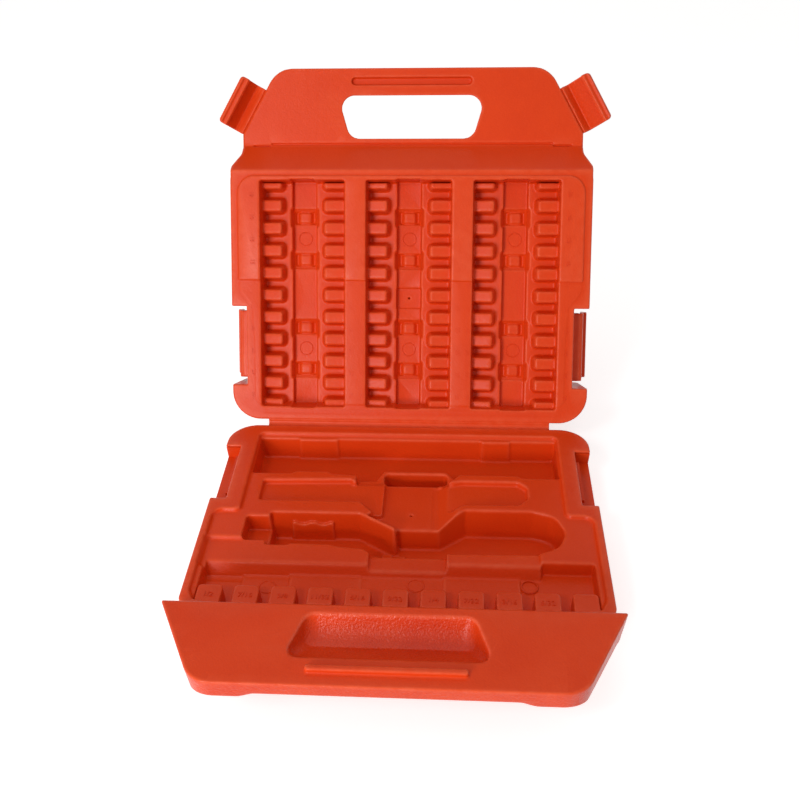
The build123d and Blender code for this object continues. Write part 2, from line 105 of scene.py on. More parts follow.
@dataclass(frozen=True)
class CaseSize:
    """Sizes that the whole case shares, in millimetres."""

    width: float = 254.0
    length: float = 180.0
    base_depth: float = 30.0
    rim_gap: float = 0.4
    open_angle: float = 116.27
    rear_edge: float = 2.4
    rear_corner: float = 20.0
    front_corner: float = 7.0
    rim_radius: float = 0.9
    plate: float = 2.0
    core_inset: float = 2.6
    notch_start: float = 27.5
    notch_end: float = 84.1
    notch_inset: float = 10.7
    notch_radius: float = 0.5
    bevel: float = 18.5
    rise: float = 22.0

    def half_width(self) -> float:
        """Half of the case's width."""
        return self.width / 2

    def handle_start(self) -> float:
        """Where the bevel ends and the handle's mating face begins."""
        return self.length + self.bevel

    def place(self, points: Array, half: Half) -> Array:
        """Move points of a half into the row frame.

        Args:
            points: N by 3 array of (x, v, w) in millimetres.
            half: the half that the points belong to.

        Returns:
            N by 3 array in metres.
        """
        hinge_y = self.length / 2
        out = np.empty_like(points, dtype=float)
        out[:, 0] = points[:, 0]
        if half is Half.BASE:
            out[:, 1] = hinge_y - points[:, 1]
            out[:, 2] = self.base_depth + points[:, 2]
            return out * MM
        angle = math.radians(-self.open_angle)
        axis_z = self.base_depth + self.rim_gap / 2
        y = -points[:, 1]
        z = self.rim_gap / 2 - points[:, 2]
        out[:, 1] = hinge_y + y * math.cos(angle) - z * math.sin(angle)
        out[:, 2] = axis_z + y * math.sin(angle) + z * math.cos(angle)
        return out * MM

    def placement(self, half: Half) -> Placement:
        """The function that moves points of a half into the row frame."""
        return lambda points: self.place(points, half)


CASE = CaseSize()


def turned(directions: Array, placement: Placement) -> Array:
    """Turn directions the way that a placement turns points, without moving them."""
    return (placement(directions) - placement(np.zeros((1, 3)))) / MM


def rounded(
    points: list[Point], radii: float | list[float] | tuple[float, ...], steps: int = 6
) -> list[Point]:
    """Round the corners of an outline with arcs.

    Args:
        points: the outline's corners, in order.
        radii: one radius for all corners, or one for each.
        steps: straight pieces in each arc.

    Returns:
        The outline with each corner replaced by points on its arc.
    """
    count = len(points)
    sizes = list(radii) if isinstance(radii, (list, tuple)) else [radii] * count
    out: list[Point] = []
    for index, corner in enumerate(points):
        before = Vector(points[index - 1]) - Vector(corner)
        after = Vector(points[(index + 1) % count]) - Vector(corner)
        radius = sizes[index]
        angle = before.angle(after)
        if radius <= 0 or angle > NEARLY_STRAIGHT:
            out.append(corner)
            continue
        reach = radius / math.tan(angle / 2)
        limit = ARC_LIMIT * min(before.length, after.length)
        if reach > limit:
            radius *= limit / reach
            reach = limit
        start = Vector(corner) + before.normalized() * reach
        end = Vector(corner) + after.normalized() * reach
        middle = (before.normalized() + after.normalized()).normalized()
        centre = Vector(corner) + middle * math.hypot(radius, reach)
        for step in range(steps + 1):
            ray = (start - centre).lerp(end - centre, step / steps)
            spot = centre + ray.normalized() * radius
            out.append((spot.x, spot.y))
    return out


def rectangle(x0: float, x1: float, v0: float, v1: float) -> list[Point]:
    """Corners of a rectangle between two x and two v positions."""
    return [(x0, v0), (x1, v0), (x1, v1), (x0, v1)]


def both_sides(points: list[Point]) -> list[Point]:
    """The points followed by their mirror images in x, as one closed outline."""
    return points + [(-x, v) for x, v in reversed(points)]


def meet(a: Array, b: Array, radius: float) -> Array:
    """What lies in both of two forms.

    Args:
        a: distances of the one form.
        b: distances of the other.
        radius: radius of the outside edge where their surfaces meet.

    Returns:
        The distances of the form that they share.
    """
    if radius <= 0:
        return np.maximum(a, b)
    corner = np.hypot(np.maximum(a + radius, 0), np.maximum(b + radius, 0))
    return np.minimum(-radius, np.maximum(a, b)) + corner


def join(a: Array, b: Array, radius: float) -> Array:
    """What lies in either of two forms.

    Args:
        a: distances of the one form.
        b: distances of the other.
        radius: radius of the fillet where their surfaces meet.

    Returns:
        The distances of the joined form.
    """
    if radius <= 0:
        return np.minimum(a, b)
    corner = np.hypot(np.maximum(radius - a, 0), np.maximum(radius - b, 0))
    return np.maximum(radius, np.minimum(a, b)) - corner


def cut(a: Array, b: Array, radius: float) -> Array:
    """The first form without the second, with the edge of the cut rounded."""
    return meet(a, -b, radius)


def either(forms: Iterable[Array]) -> Array:
    """What lies in any of the forms, with sharp edges between them."""
    return reduce(np.minimum, forms)


@dataclass
class Grid:
    """A block of evenly spaced points in which a form is worked out."""

    low: Place
    high: Place
    step: float
    axes: list[Array] = field(init=False)
    x: Array = field(init=False)
    v: Array = field(init=False)
    w: Array = field(init=False)

    def __post_init__(self) -> None:
        """Lay out the points along each direction."""
        self.axes = [
            np.arange(a, b + self.step, self.step, dtype=np.float32)
            for a, b in zip(self.low, self.high)
        ]
        self.x = self.axes[0][:, None, None]
        self.v = self.axes[1][None, :, None]
        self.w = self.axes[2][None, None, :]

    def inside(self, outline: list[Point]) -> Array:
        """Distance to an outline at each (x, v) of the grid.

        Args:
            outline: the corners of a closed outline, in order.

        Returns:
            The distances, below 0 inside the outline, the same at every w.
        """
        px = self.axes[0][:, None]
        pv = self.axes[1][None, :]
        nearest = np.full((px.size, pv.size), HUGE, np.float32)
        crossed = np.zeros((px.size, pv.size), bool)
        for (x0, v0), (x1, v1) in zip(outline, outline[1:] + outline[:1]):
            ex = x1 - x0
            ev = v1 - v0
            length = ex * ex + ev * ev
            if length < TINY:
                continue
            dx = px - x0
            dv = pv - v0
            along = np.clip((dx * ex + dv * ev) / length, 0, 1)
            nearest = np.minimum(nearest, (dx - ex * along) ** 2 + (dv - ev * along) ** 2)
            if v0 != v1:
                spans = (v0 <= pv) != (v1 <= pv)
                crossed ^= spans & (px < x0 + ex * (pv - v0) / ev)
        distance = np.sqrt(nearest)
        return np.where(crossed, -distance, distance)[:, :, None].astype(np.float32)

    def profile(self, outline: list[Point]) -> Array:
        """Distance to an outline at each (v, w) of the grid.

        Args:
            outline: the corners of a closed outline in the side view, in order.

        Returns:
            The distances, below 0 inside the outline, the same at every x.
        """
        side = Grid(
            (self.low[1], self.low[2], 0.0), (self.high[1], self.high[2], 0.0), self.step
        )
        return side.inside(outline)[: self.axes[1].size, : self.axes[2].size, 0][None, :, :]

    def pocket(
        self, outline: Array, floor: float | Array, draft: float, radius: float, top: float = 0.0
    ) -> Array:
        """A hollow with leaning walls and a rounded bottom edge.

        Args:
            outline: distance to its outline at the height of the top.
            floor: height of its floor.
            draft: how far its walls lean in for each millimetre of depth.
            radius: radius of its bottom edge.
            top: height at which the outline is drawn.

        Returns:
            The distances, below 0 in the hollow.
        """
        walls = outline - draft * (self.w - top)
        return meet(walls, floor - self.w, radius)

    def block(self, outline: Array, top: float | Array, draft: float, radius: float) -> Array:
        """The solid under a top face, with leaning walls and a rounded top edge.

        Args:
            outline: distance to its outline at the height of the top.
            top: height of its top.
            draft: how far its walls lean out for each millimetre of depth.
            radius: radius of its top edge.

        Returns:
            The distances, below 0 in the solid.
        """
        walls = outline + draft * (self.w - top)
        return meet(walls, self.w - top, radius)


@dataclass(frozen=True)
class Hollow:
    """How a hollow is moulded: its floor, the lean of its walls and its round edges."""

    floor: float
    draft: float
    floor_edge: float
    rim: float
    corner: float = 0.0

    def cut_from(self, form: Array, grid: Grid, points: list[Point], top: float) -> Array:
        """Cut the hollow from a form.

        Args:
            form: the form so far.
            grid: the form's grid.
            points: corners of the hollow's outline.
            top: height at which the outline is drawn.

        Returns:
            The form with the hollow.
        """
        outline = grid.inside(rounded(points, self.corner))
        return cut(form, grid.pocket(outline, self.floor, self.draft, self.floor_edge, top), self.rim)


def surface_points(values: Array, grid: Grid, cells: Array) -> Array:
    """One point in each cell that a form's surface passes through.

    Args:
        values: distances on the grid, below 0 inside the form.
        grid: the grid that the distances belong to.
        cells: the place in the grid of each cell's low corner.

    Returns:
        The middle of the places where the surface crosses each cell's edges, in millimetres.
    """
    total = np.zeros((len(cells), 3))
    hits = np.zeros(len(cells))
    for axis in range(3):
        for start in CELL_CORNERS:
            if start[axis]:
                continue
            end = tuple(n + (i == axis) for i, n in enumerate(start))
            near = values[tuple((cells + start).T)].astype(float)
            far = values[tuple((cells + end).T)].astype(float)
            crossing = (near < 0) != (far < 0)
            share = np.where(crossing, near / np.where(crossing, near - far, 1.0), 0.0)
            spot = np.tile(np.array(start, float), (len(cells), 1))
            spot[:, axis] += share
            total += spot * crossing[:, None]
            hits += crossing
    return (cells + total / hits[:, None]) * grid.step + np.array(grid.low)


def surface_faces(filled: Array, number: Array) -> Array:
    """The faces that part the filled grid points from the empty ones.

    Args:
        filled: whether each grid point lies inside the form.
        number: the number of each cell's point, or -1 where it has none.

    Returns:
        The four point numbers of each face, which faces outwards.
    """
    shape = number.shape
    faces = []
    for axis in range(3):
        first, second = [i for i in range(3) if i != axis]
        low = [slice(None)] * 3
        high = [slice(None)] * 3
        low[axis] = slice(None, -1)
        high[axis] = slice(1, None)
        change = filled[tuple(low)].astype(np.int8) - filled[tuple(high)].astype(np.int8)
        edges = np.argwhere(change)
        keep = (edges[:, first] > 0) & (edges[:, second] > 0)
        keep &= (edges[:, first] < shape[first]) & (edges[:, second] < shape[second])
        edges = edges[keep]
        outward = change[tuple(edges.T)] > 0
        ring = []
        for a, b in ((0, 0), (-1, 0), (-1, -1), (0, -1)):
            moved = edges.copy()
            moved[:, first] += a
            moved[:, second] += b
            ring.append(number[tuple(moved.T)])
        quads = np.stack(ring, axis=1)
        flip = outward if axis == 1 else ~outward
        quads[flip] = quads[flip][:, ::-1]
        faces.append(quads)
    return np.concatenate(faces)


def wrapped(values: Array, grid: Grid) -> tuple[Array, Array]:
    """Wrap a mesh round a form.

    Args:
        values: distances on the grid, below 0 inside the form.
        grid: the grid that the distances belong to.

    Returns:
        The points in millimetres, and the four-sided faces, facing outwards.
    """
    filled = values < 0
    shape = tuple(n - 1 for n in values.shape)
    count = np.zeros(shape, np.int8)
    for dx, dy, dz in CELL_CORNERS:
        count += filled[dx : dx + shape[0], dy : dy + shape[1], dz : dz + shape[2]]
    cells = np.argwhere((count > 0) & (count < len(CELL_CORNERS)))
    number = np.full(shape, -1, np.int32)
    number[cells[:, 0], cells[:, 1], cells[:, 2]] = np.arange(len(cells))
    return surface_points(values, grid, cells), surface_faces(filled, number)


def sampled(values: Array, grid: Grid, points: Array) -> Array:
    """Values of a field between the grid's points, weighted by nearness.

    Args:
        values: the field's values on the grid.
        grid: the grid that they belong to.
        points: N by 3 array of places in the grid's own units.

    Returns:
        The value at each place.
    """
    spot = (points - np.array(grid.low)) / grid.step
    corner = np.clip(np.floor(spot).astype(int), 0, np.array(values.shape) - 2)
    share = spot - corner
    result = np.zeros(len(points))
    for offset in CELL_CORNERS:
        weight = np.prod(np.where(np.array(offset), share, 1 - share), axis=1)
        result += weight * values[tuple((corner + offset).T)]
    return result


def slopes(values: Array, grid: Grid, points: Array) -> Array:
    """Direction straight out of a form's surface at each point, as N by 3 unit vectors."""
    out = np.stack([sampled(g, grid, points) for g in np.gradient(values, grid.step)], axis=1)
    return out / np.maximum(np.linalg.norm(out, axis=1, keepdims=True), TINY)


def edge_mask(values: Array, grid: Grid, points: Array) -> Array:
    """How sharply a form's surface bulges at each point.

    Args:
        values: distances on the grid, below 0 inside the form.
        grid: the grid that the distances belong to.
        points: N by 3 array of places on the surface, in millimetres.

    Returns:
        From 0 on flats and in hollows to 1 on the sharpest outer edges.
    """
    bulge = sum(
        np.gradient(g, grid.step, axis=i) for i, g in enumerate(np.gradient(values, grid.step))
    )
    return np.clip(sampled(bulge, grid, points) / SHARPEST_EDGE, 0, 1)


@dataclass
class Skin:
    """A finished form: its field, its grid and how it is meshed.

    Thinning leaves the share keep_faces of its triangles. The spots are the points of the built
    mesh, as the grid places them.
    """

    name: str
    values: Array
    grid: Grid
    placement: Placement
    keep_faces: float = 0.5
    spots: Array = field(init=False)

    def build(self, material: bpy.types.Material) -> bpy.types.Object:
        """Mesh the form, thin out its flat stretches and give it smooth shading.

        Args:
            material: the finish of the whole piece.

        Returns:
            The new object, in the row frame.
        """
        points, faces = wrapped(self.values, self.grid)
        piece = mesh_object(self.name, points, faces.tolist())
        thin = piece.modifiers.new("thin", "DECIMATE")
        thin.ratio = self.keep_faces
        apply_modifiers(piece)
        mesh = piece.data
        flat = np.empty(len(mesh.vertices) * 3)
        mesh.vertices.foreach_get("co", flat)
        self.spots = flat.reshape(-1, 3)
        normals = slopes(self.values, self.grid, self.spots)
        edges = edge_mask(self.values, self.grid, self.spots)
        mesh.vertices.foreach_set("co", self.placement(self.spots).astype(np.float32).ravel())
        if np.linalg.det(turned(np.eye(3), self.placement)) < 0:
            mesh.flip_normals()
        mesh.shade_smooth()
        mesh.update()
        mesh.normals_split_custom_set_from_vertices(turned(normals, self.placement))
        mask = mesh.attributes.new(EDGE_MASK, "FLOAT", "POINT")
        mask.data.foreach_set("value", edges.astype(np.float32))
        mesh.materials.append(material)
        return piece

    def second_finish(
        self, piece: bpy.types.Object, material: bpy.types.Material, chosen: Callable[[Array], Array]
    ) -> None:
        """Give some faces of a built piece another finish.

        Args:
            piece: the piece that build made.
            material: the other finish.
            chosen: tells from the middles of faces, as the grid places them, which get it.
        """
        mesh = piece.data
        mesh.materials.append(material)
        middles = np.array([self.spots[list(face.vertices)].mean(axis=0) for face in mesh.polygons])
        mesh.polygons.foreach_set("material_index", chosen(middles).astype(np.int32))


def mesh_object(name: str, points: Iterable, faces: list[list[int]]) -> bpy.types.Object:
    """Make a new object and put it in the scene.

    Args:
        name: name of the object and of its mesh.
        points: the place of each point.
        faces: the point numbers round each face.

    Returns:
        The new object, without a finish.
    """
    mesh = bpy.data.meshes.new(name)
    mesh.from_pydata([tuple(p) for p in points], [], faces)
    mesh.validate()
    mesh.update()
    piece = bpy.data.objects.new(name, mesh)
    bpy.context.scene.collection.objects.link(piece)
    return piece


def apply_modifiers(piece: bpy.types.Object) -> None:
    """Replace a piece's mesh by what its modifiers make of it.

    Args:
        piece: the piece, which has no modifiers left afterwards.
    """
    graph = bpy.context.evaluated_depsgraph_get()
    made = bpy.data.meshes.new_from_object(piece.evaluated_get(graph))
    old = piece.data
    piece.modifiers.clear()
    piece.data = made
    bpy.data.meshes.remove(old)
    made.name = piece.name


def finished(piece: bpy.types.Object, body: str) -> None:
    """Let a piece ride on its body and report it.

    Args:
        piece: the built piece.
        body: name of the body that it moves with.
    """
    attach(piece, body)
    LOG.info("%s: %d faces on %s", piece.name, len(piece.data.polygons), body)


@dataclass(frozen=True)
class Opening:
    """An opening in the handle whose width grows from its near to its far side."""

    near: float
    far: float
    near_half: float
    far_half: float
    corner: float

    def half(self, v: Array) -> Array:
        """Half of its width at each v."""
        share = (v - self.near) / (self.far - self.near)
        return self.near_half + (self.far_half - self.near_half) * share

    def outline(self) -> list[Point]:
        """Its outline, with round corners."""
        points = [(self.near_half, self.near), (self.far_half, self.far)]
        return rounded(both_sides(points), self.corner, 8)


HAND_HOLE = Opening(near=204.1, far=233.4, near_half=43.6, far_half=52.2, corner=8.5)
SCOOP = Opening(near=202.8, far=235.8, near_half=46.8, far_half=57.0, corner=8.0)


@dataclass(frozen=True)
class Mark:
    """A small raised number on a face of the case.

    The place is its middle as (x, v, w), and right and up are its directions in (x, v).
    """

    text: str
    place: Place
    right: Point
    up: Point
    size: float

    def shape(self, relief: float) -> tuple[Array, list[list[int]]]:
        """The text as a solid that lies flat.

        Args:
            relief: how far it stands out on either side of its middle.

        Returns:
            Its points in millimetres, round (0, 0, 0), and its faces.
        """
        curve = bpy.data.curves.new("lettering", "FONT")
        curve.body = self.text
        curve.size = self.size
        curve.extrude = relief
        curve.resolution_u = 2
        curve.align_x = "CENTER"
        curve.align_y = "CENTER"
        holder = bpy.data.objects.new("lettering", curve)
        bpy.context.scene.collection.objects.link(holder)
        graph = bpy.context.evaluated_depsgraph_get()
        mesh = bpy.data.meshes.new_from_object(holder.evaluated_get(graph))
        points = np.array([vertex.co for vertex in mesh.vertices])
        faces = [list(face.vertices) for face in mesh.polygons]
        bpy.data.objects.remove(holder)
        bpy.data.curves.remove(curve)
        bpy.data.meshes.remove(mesh)
        return points, faces


@dataclass(frozen=True)
class RaisedNumbers:
    """Small raised numbers that make up one piece."""

    name: str
    marks: list[Mark]
    half: Half
    relief: float

    def build(self, material: bpy.types.Material) -> None:
        """Build the numbers.

        Args:
            material: their finish.
        """
        points: list[Array] = []
        faces: list[list[int]] = []
        count = 0
        shapes = {mark.text: mark.shape(self.relief) for mark in self.marks}
        for mark in self.marks:
            spots, rings = shapes[mark.text]
            axes = np.array([(*mark.right, 0.0), (*mark.up, 0.0), (0.0, 0.0, 1.0)])
            points.append(spots @ axes + np.array(mark.place))
            faces += [[n + count for n in ring] for ring in rings]
            count += len(spots)
        piece = mesh_object(self.name, CASE.place(np.concatenate(points), self.half), faces)
        piece.data.materials.append(material)
        finished(piece, self.half.value)


@dataclass(frozen=True)
class RingMarks:
    """Thin round ridges that stand out of a floor, as one piece.

    The places are the (x, v, w) of the rings' centres, and tube is the radius of a ridge's section.
    """

    name: str
    places: list[Place]
    radius: float
    half: Half
    tube: float = 0.4
    sides: int = 8
    steps: int = 48

    def build(self, material: bpy.types.Material) -> None:
        """Build the rings.

        Args:
            material: their finish.
        """
        turn = np.arange(self.steps) * 2 * np.pi / self.steps
        roll = np.arange(self.sides) * 2 * np.pi / self.sides
        turn, roll = np.meshgrid(turn, roll, indexing="ij")
        reach = self.radius + self.tube * np.cos(roll)
        ring = np.stack([reach * np.cos(turn), reach * np.sin(turn), self.tube * np.sin(roll)], axis=2)
        ring = ring.reshape(-1, 3)
        points = np.concatenate([ring + np.array(place) for place in self.places])
        faces = [
            [n + len(ring) * i for n in face] for i in range(len(self.places)) for face in self.faces()
        ]
        piece = mesh_object(self.name, CASE.place(points, self.half), faces)
        if self.half is Half.LID:
            piece.data.flip_normals()
        piece.data.shade_smooth()
        piece.data.materials.append(material)
        finished(piece, self.half.value)

    def faces(self) -> list[list[int]]:
        """The point numbers round each face of one ring.

        Returns:
            Four numbers for each face.
        """
        numbers = np.arange(self.steps * self.sides).reshape(self.steps, self.sides)
        along = np.roll(numbers, -1, axis=0)
        corners = [numbers, np.roll(numbers, -1, axis=1), np.roll(along, -1, axis=1), along]
        return np.stack(corners, axis=2).reshape(-1, 4).tolist()


@dataclass(frozen=True)
class Flap:
    """A latch: a hooked flap that folds about a line beside the lid.

    Its own points are (t, reach, rise): t runs along the fold line, and reach and rise lie in its
    section. In the lid, s is the distance out from the lid's side. The flap reaches out along s,
    or along w when it is upright.
    """

    name: str
    node: str
    side: int
    start: Point
    length: float
    section: tuple[Point, ...]
    fold: Point
    turn: float
    slope: float = 0.0
    upright: bool = False
    corner: float = 3.0
    bead: float = 0.8
    bead_start: float = -1.0
    bead_back: float = 0.3
    edge_radius: float = 0.45
    margin: float = 1.5
    root_margin: float = 9.0
    step: float = 0.4

    def fold_point(self) -> Point:
        """The fold line's (s, w)."""
        return (self.fold[1], self.fold[0]) if self.upright else self.fold

    def placement(self, points: Array) -> Array:
        """Fold the flap to its place at rest, in the row frame.

        Args:
            points: N by 3 array of the flap's own (t, reach, rise) in millimetres.

        Returns:
            N by 3 array in metres.
        """
        t, reach, rise = points.T
        s, w = (rise, reach) if self.upright else (reach, rise)
        s0, w0 = self.fold_point()
        angle = math.radians(self.turn)
        ds = s - s0
        dw = w - w0
        s = s0 + ds * math.cos(angle) + dw * math.sin(angle)
        w = w0 - ds * math.sin(angle) + dw * math.cos(angle)
        length = math.hypot(1, self.slope)
        x = self.side * (self.start[0] + (s - self.slope * t) / length)
        v = self.start[1] + (self.slope * s + t) / length
        return CASE.place(np.stack([x, v, w], axis=1), Half.LID)

    def web(self, grid: Grid) -> Array:
        """The thin strip of the lid that the flap folds on.

        Args:
            grid: the lid's grid.

        Returns:
            The distances, below 0 in the strip.
        """
        length = math.hypot(1, self.slope)
        x = self.side * grid.x - self.start[0]
        v = grid.v - self.start[1]
        s = (x + self.slope * v) / length
        t = (v - self.slope * x) / length
        s0, w0 = self.fold_point()
        ds = s - np.clip(s, self.bead_start, s0 - self.bead_back)
        dt = t - np.clip(t, self.bead, self.length - self.bead)
        return np.sqrt(ds * ds + dt * dt + (grid.w - w0) ** 2) - self.bead

    def build(self, material: bpy.types.Material) -> None:
        """Build the flap and stand it in for its CAD node.

        Args:
            material: its finish.
        """
        reaches = [reach for reach, _ in self.section]
        rises = [rise for _, rise in self.section]
        grid = Grid(
            (-self.margin, min(reaches) - self.margin, min(rises) - self.margin),
            (self.length + self.margin, max(reaches) + self.margin, max(rises) + self.margin),
            self.step,
        )
        tip = rectangle(0.0, self.length, min(reaches) - self.root_margin, max(reaches))
        plan = grid.inside(rounded(tip, [0, 0, self.corner, self.corner]))
        profile = grid.profile(rounded(list(self.section), self.edge_radius, 3))
        form = meet(profile, plan, self.edge_radius)
        piece = Skin(self.name, form, grid, self.placement).build(material)
        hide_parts(self.node)
        finished(piece, self.node)


def handle_flap(name: str, side: int, tilt: float) -> Flap:
    """A flap that folds over a slanted side of the handle.

    Args:
        name: the side of the case that it is on, in words.
        side: -1 on the left, 1 on the right.
        tilt: how far it is folded from flat at rest, in degrees.

    Returns:
        The flap.
    """
    face = -CASE.rise
    depths = (
        (0.8, -2.4), (2.0, -2.4), (3.2, -8.9), (16.0, -8.9), (16.3, -6.1), (18.4, -6.1), (19.6, -8.3),
        (21.5, -8.6), (21.5, -11.1), (0.8, -11.1),
    )
    return Flap(
        name=f"handle_flap_{name}",
        node=f"handle_latch_{name}",
        side=side,
        start=(122.0, 207.0),
        length=35.77,
        section=tuple((reach, face + depth) for reach, depth in depths),
        fold=(0.8, face - 3.0),
        turn=-tilt,
        slope=0.548,
    )


def side_flap(name: str, side: int) -> Flap:
    """A flap that folds over a side notch.

    Args:
        name: the side of the case that it is on, in words.
        side: -1 on the left, 1 on the right.

    Returns:
        The flap, folded right back.
    """
    section = (
        (-12.4, 3.2), (-13.4, 4.1), (-14.0, 5.4), (-13.4, 5.7), (9.9, 5.7), (9.9, 1.0), (7.5, 1.0),
        (7.1, 3.2),
    )
    return Flap(
        name=f"side_flap_{name}",
        node=f"side_latch_{name}",
        side=side,
        start=(CASE.half_width() - CASE.notch_inset, 31.3),
        length=49.0,
        section=section,
        fold=(-14.0, 5.5),
        turn=172.0,
        upright=True,
        corner=4.0,
    )


FLAPS = (
    handle_flap("left", -1, tilt=64.0), handle_flap("right", 1, tilt=38.0),
    side_flap("left", -1), side_flap("right", 1),
)


@dataclass
class HingeWeb:
    """The bending strip between the two halves, in the row frame in millimetres."""

    half: float = 101.0
    thickness: float = 0.9
    path: tuple[Point, ...] = (
        (86.2, 29.0), (87.6, 28.4), (89.0, 28.1), (90.4, 28.4), (91.5, 29.3), (92.0, 30.4), (92.0, 31.5),
        (92.5, 33.0),
    )
    bend_start: Point = (88.4, 28.0)
    bend_end: Point = (92.0, 30.8)
    margin: float = 1.5
    step: float = 0.35
    keep_faces: float = 0.3

    def stretch(self, grid: Grid, start: Point, end: Point) -> Array:
        """One straight stretch of the strip.

        Args:
            grid: the grid to work in, with y and z in place of v and w.
            start: the (y, z) where the stretch begins.
            end: the (y, z) where it ends.

        Returns:
            The distances, below 0 in the stretch.
        """
        y0, z0 = start
        ey = end[0] - y0
        ez = end[1] - z0
        share = np.clip(((grid.v - y0) * ey + (grid.w - z0) * ez) / (ey * ey + ez * ez), 0, 1)
        return np.hypot(grid.v - y0 - share * ey, grid.w - z0 - share * ez) - self.thickness / 2

    def build(self, material: bpy.types.Material) -> None:
        """Build the strip and stand it in for both leaves.

        Args:
            material: its finish.
        """
        low = [min(values) - self.margin for values in zip(*self.path)]
        high = [max(values) + self.margin for values in zip(*self.path)]
        grid = Grid((-self.half - self.margin, *low), (self.half + self.margin, *high), self.step)
        strip = either(self.stretch(grid, *ends) for ends in zip(self.path, self.path[1:]))
        form = meet(strip, np.abs(grid.x) - self.half, self.thickness / 2)
        skin = Skin("hinge_web", form, grid, lambda points: points * MM, self.keep_faces)
        piece = skin.build(material)
        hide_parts("hinge_web_base_leaf", "hinge_web_lid_leaf")
        start, end = [(0.0, y * MM, z * MM) for y, z in (self.bend_start, self.bend_end)]
        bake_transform(piece)
        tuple(start)
        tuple(end)
        LOG.info("%s: %d faces between base and lid", piece.name, len(piece.data.polygons))


def case_outline() -> list[Point]:
    """Outline of either half at its rim.

    Returns:
        The outline, with round corners.
    """
    half = CASE.half_width()
    points = rectangle(-half, half, CASE.rear_edge, CASE.length)
    radii = [CASE.rear_corner, CASE.rear_corner, CASE.front_corner, CASE.front_corner]
    return rounded(points, radii, 12)


def notches(grid: Grid, margin: float) -> Array:
    """The two side notches, open right through.

    Args:
        grid: the grid of the half that they are in.
        margin: how much larger than life they are.

    Returns:
        The distances, below 0 in the notches.
    """
    inner = CASE.half_width() - CASE.notch_inset - margin
    outer = CASE.half_width() + 23
    ends = (CASE.notch_start - margin, CASE.notch_end + margin)
    return np.minimum(
        grid.inside(rectangle(inner, outer, *ends)), grid.inside(rectangle(-outer, -inner, *ends))
    )


def solid_half(grid: Grid, core_bottom: float) -> Array:
    """The plate of either half, with a solid core under it that fills its outer shell.

    Args:
        grid: the grid of the half.
        core_bottom: depth of the core's underside.

    Returns:
        The distances, below 0 in the plate and the core.
    """
    outline = grid.inside(case_outline())
    plate = meet(meet(outline, grid.w, CASE.rim_radius), -CASE.plate - grid.w, 0)
    plate = cut(plate, notches(grid, 0.0), CASE.notch_radius)
    core = meet(outline + CASE.core_inset, grid.w, 0)
    core = meet(core, -core_bottom - grid.w, 0)
    core = cut(core, notches(grid, CASE.core_inset), 0)
    return np.minimum(plate, core)


@dataclass(frozen=True)
class Pocket:
    """A pocket of the tray, its outline drawn at the level of the shallow recess."""

    outline: list[Point]
    corners: float | tuple[float, ...]
    floor: float
    draft: float
    bottom_edge: float

    def hollow(self, grid: Grid, level: float) -> Array:
        """The room inside the pocket.

        Args:
            grid: the tray's grid.
            level: height of the shallow recess's floor.

        Returns:
            The distances, below 0 in the pocket.
        """
        outline = grid.inside(rounded(self.outline, self.corners))
        return grid.pocket(outline, self.floor, self.draft, self.bottom_edge, level)


@dataclass(frozen=True)
class Riser:
    """A raised place on the floor of a pocket, between two x and two v positions."""

    left: float
    right: float
    far: float
    near: float
    top: float
    draft: float = 0.05
    edge: float = 0.3

    def block(self, grid: Grid) -> Array:
        """The solid under its top."""
        outline = grid.inside(rectangle(self.left, self.right, self.far, self.near))
        return grid.block(outline, self.top, self.draft, self.edge)


# The long channel at the back, with two pads on its back wall.
CHANNEL = Pocket(
    [
        (-104, 15), (-77, 15), (-76, 16.3), (-49.5, 16.3), (-48.5, 15), (52, 15), (53, 16.3), (72, 16.3),
        (73, 15), (104, 15), (104, 55), (79, 55), (76, 52.5), (43, 52.5), (34, 52), (28.5, 43.5),
        (-14, 43.5), (-19, 54.5), (-33, 55), (-49, 54), (-52, 51.5), (-74, 51.5), (-77, 54), (-104, 54),
    ],
    corners=1.5, floor=-19.0, draft=0.05, bottom_edge=1.8,
)
# The lowered ridge round the slot, and the slot in it.
SLOT_RIDGE = Pocket(
    [(-32, 41), (33, 41), (37, 53), (30, 61), (-32, 61)],
    corners=1.5, floor=-8.0, draft=0.05, bottom_edge=1.0,
)
CENTRE_SLOT = Pocket(
    rectangle(-14, 29.5, 46.0, 58.5), corners=4.0, floor=-20.0, draft=0.06, bottom_edge=1.0
)
CENTRE_PANEL = Pocket(
    [(-13, 56), (24, 56), (24, 108), (-1, 108), (-22, 95), (-19, 91.5), (-13, 91.5)],
    corners=1.0, floor=-9.0, draft=0.12, bottom_edge=1.0,
)
LEFT_SHALLOW = Pocket(
    [
        (-95, 61.5), (-36, 59.5), (-32, 63), (-32, 56), (-13, 56), (-13, 92), (-19, 92), (-28, 82),
        (-95, 82),
    ],
    corners=2.0, floor=-6.2, draft=0.14, bottom_edge=0.7,
)
RIGHT_SHALLOW = Pocket(
    [(30, 62), (39, 59.5), (76, 59.5), (82, 65), (82, 76), (76, 82.5), (40, 83.5), (28, 92)],
    corners=4.0, floor=-6.0, draft=0.14, bottom_edge=0.8,
)
# The ridges before the front compartment, and the low bar between them.
LEFT_RIDGE = Pocket(
    rectangle(-121.8, -18, 118.5, 145), corners=2.0, floor=-4.7, draft=0.4, bottom_edge=0.8
)
RIGHT_RIDGE = Pocket(
    rectangle(30.5, 86.5, 124, 146), corners=1.5, floor=-3.9, draft=0.2, bottom_edge=0.6
)
LOW_BAR = Pocket(rectangle(-19, 30, 126, 145), corners=2.0, floor=-8.3, draft=0.2, bottom_edge=0.8)
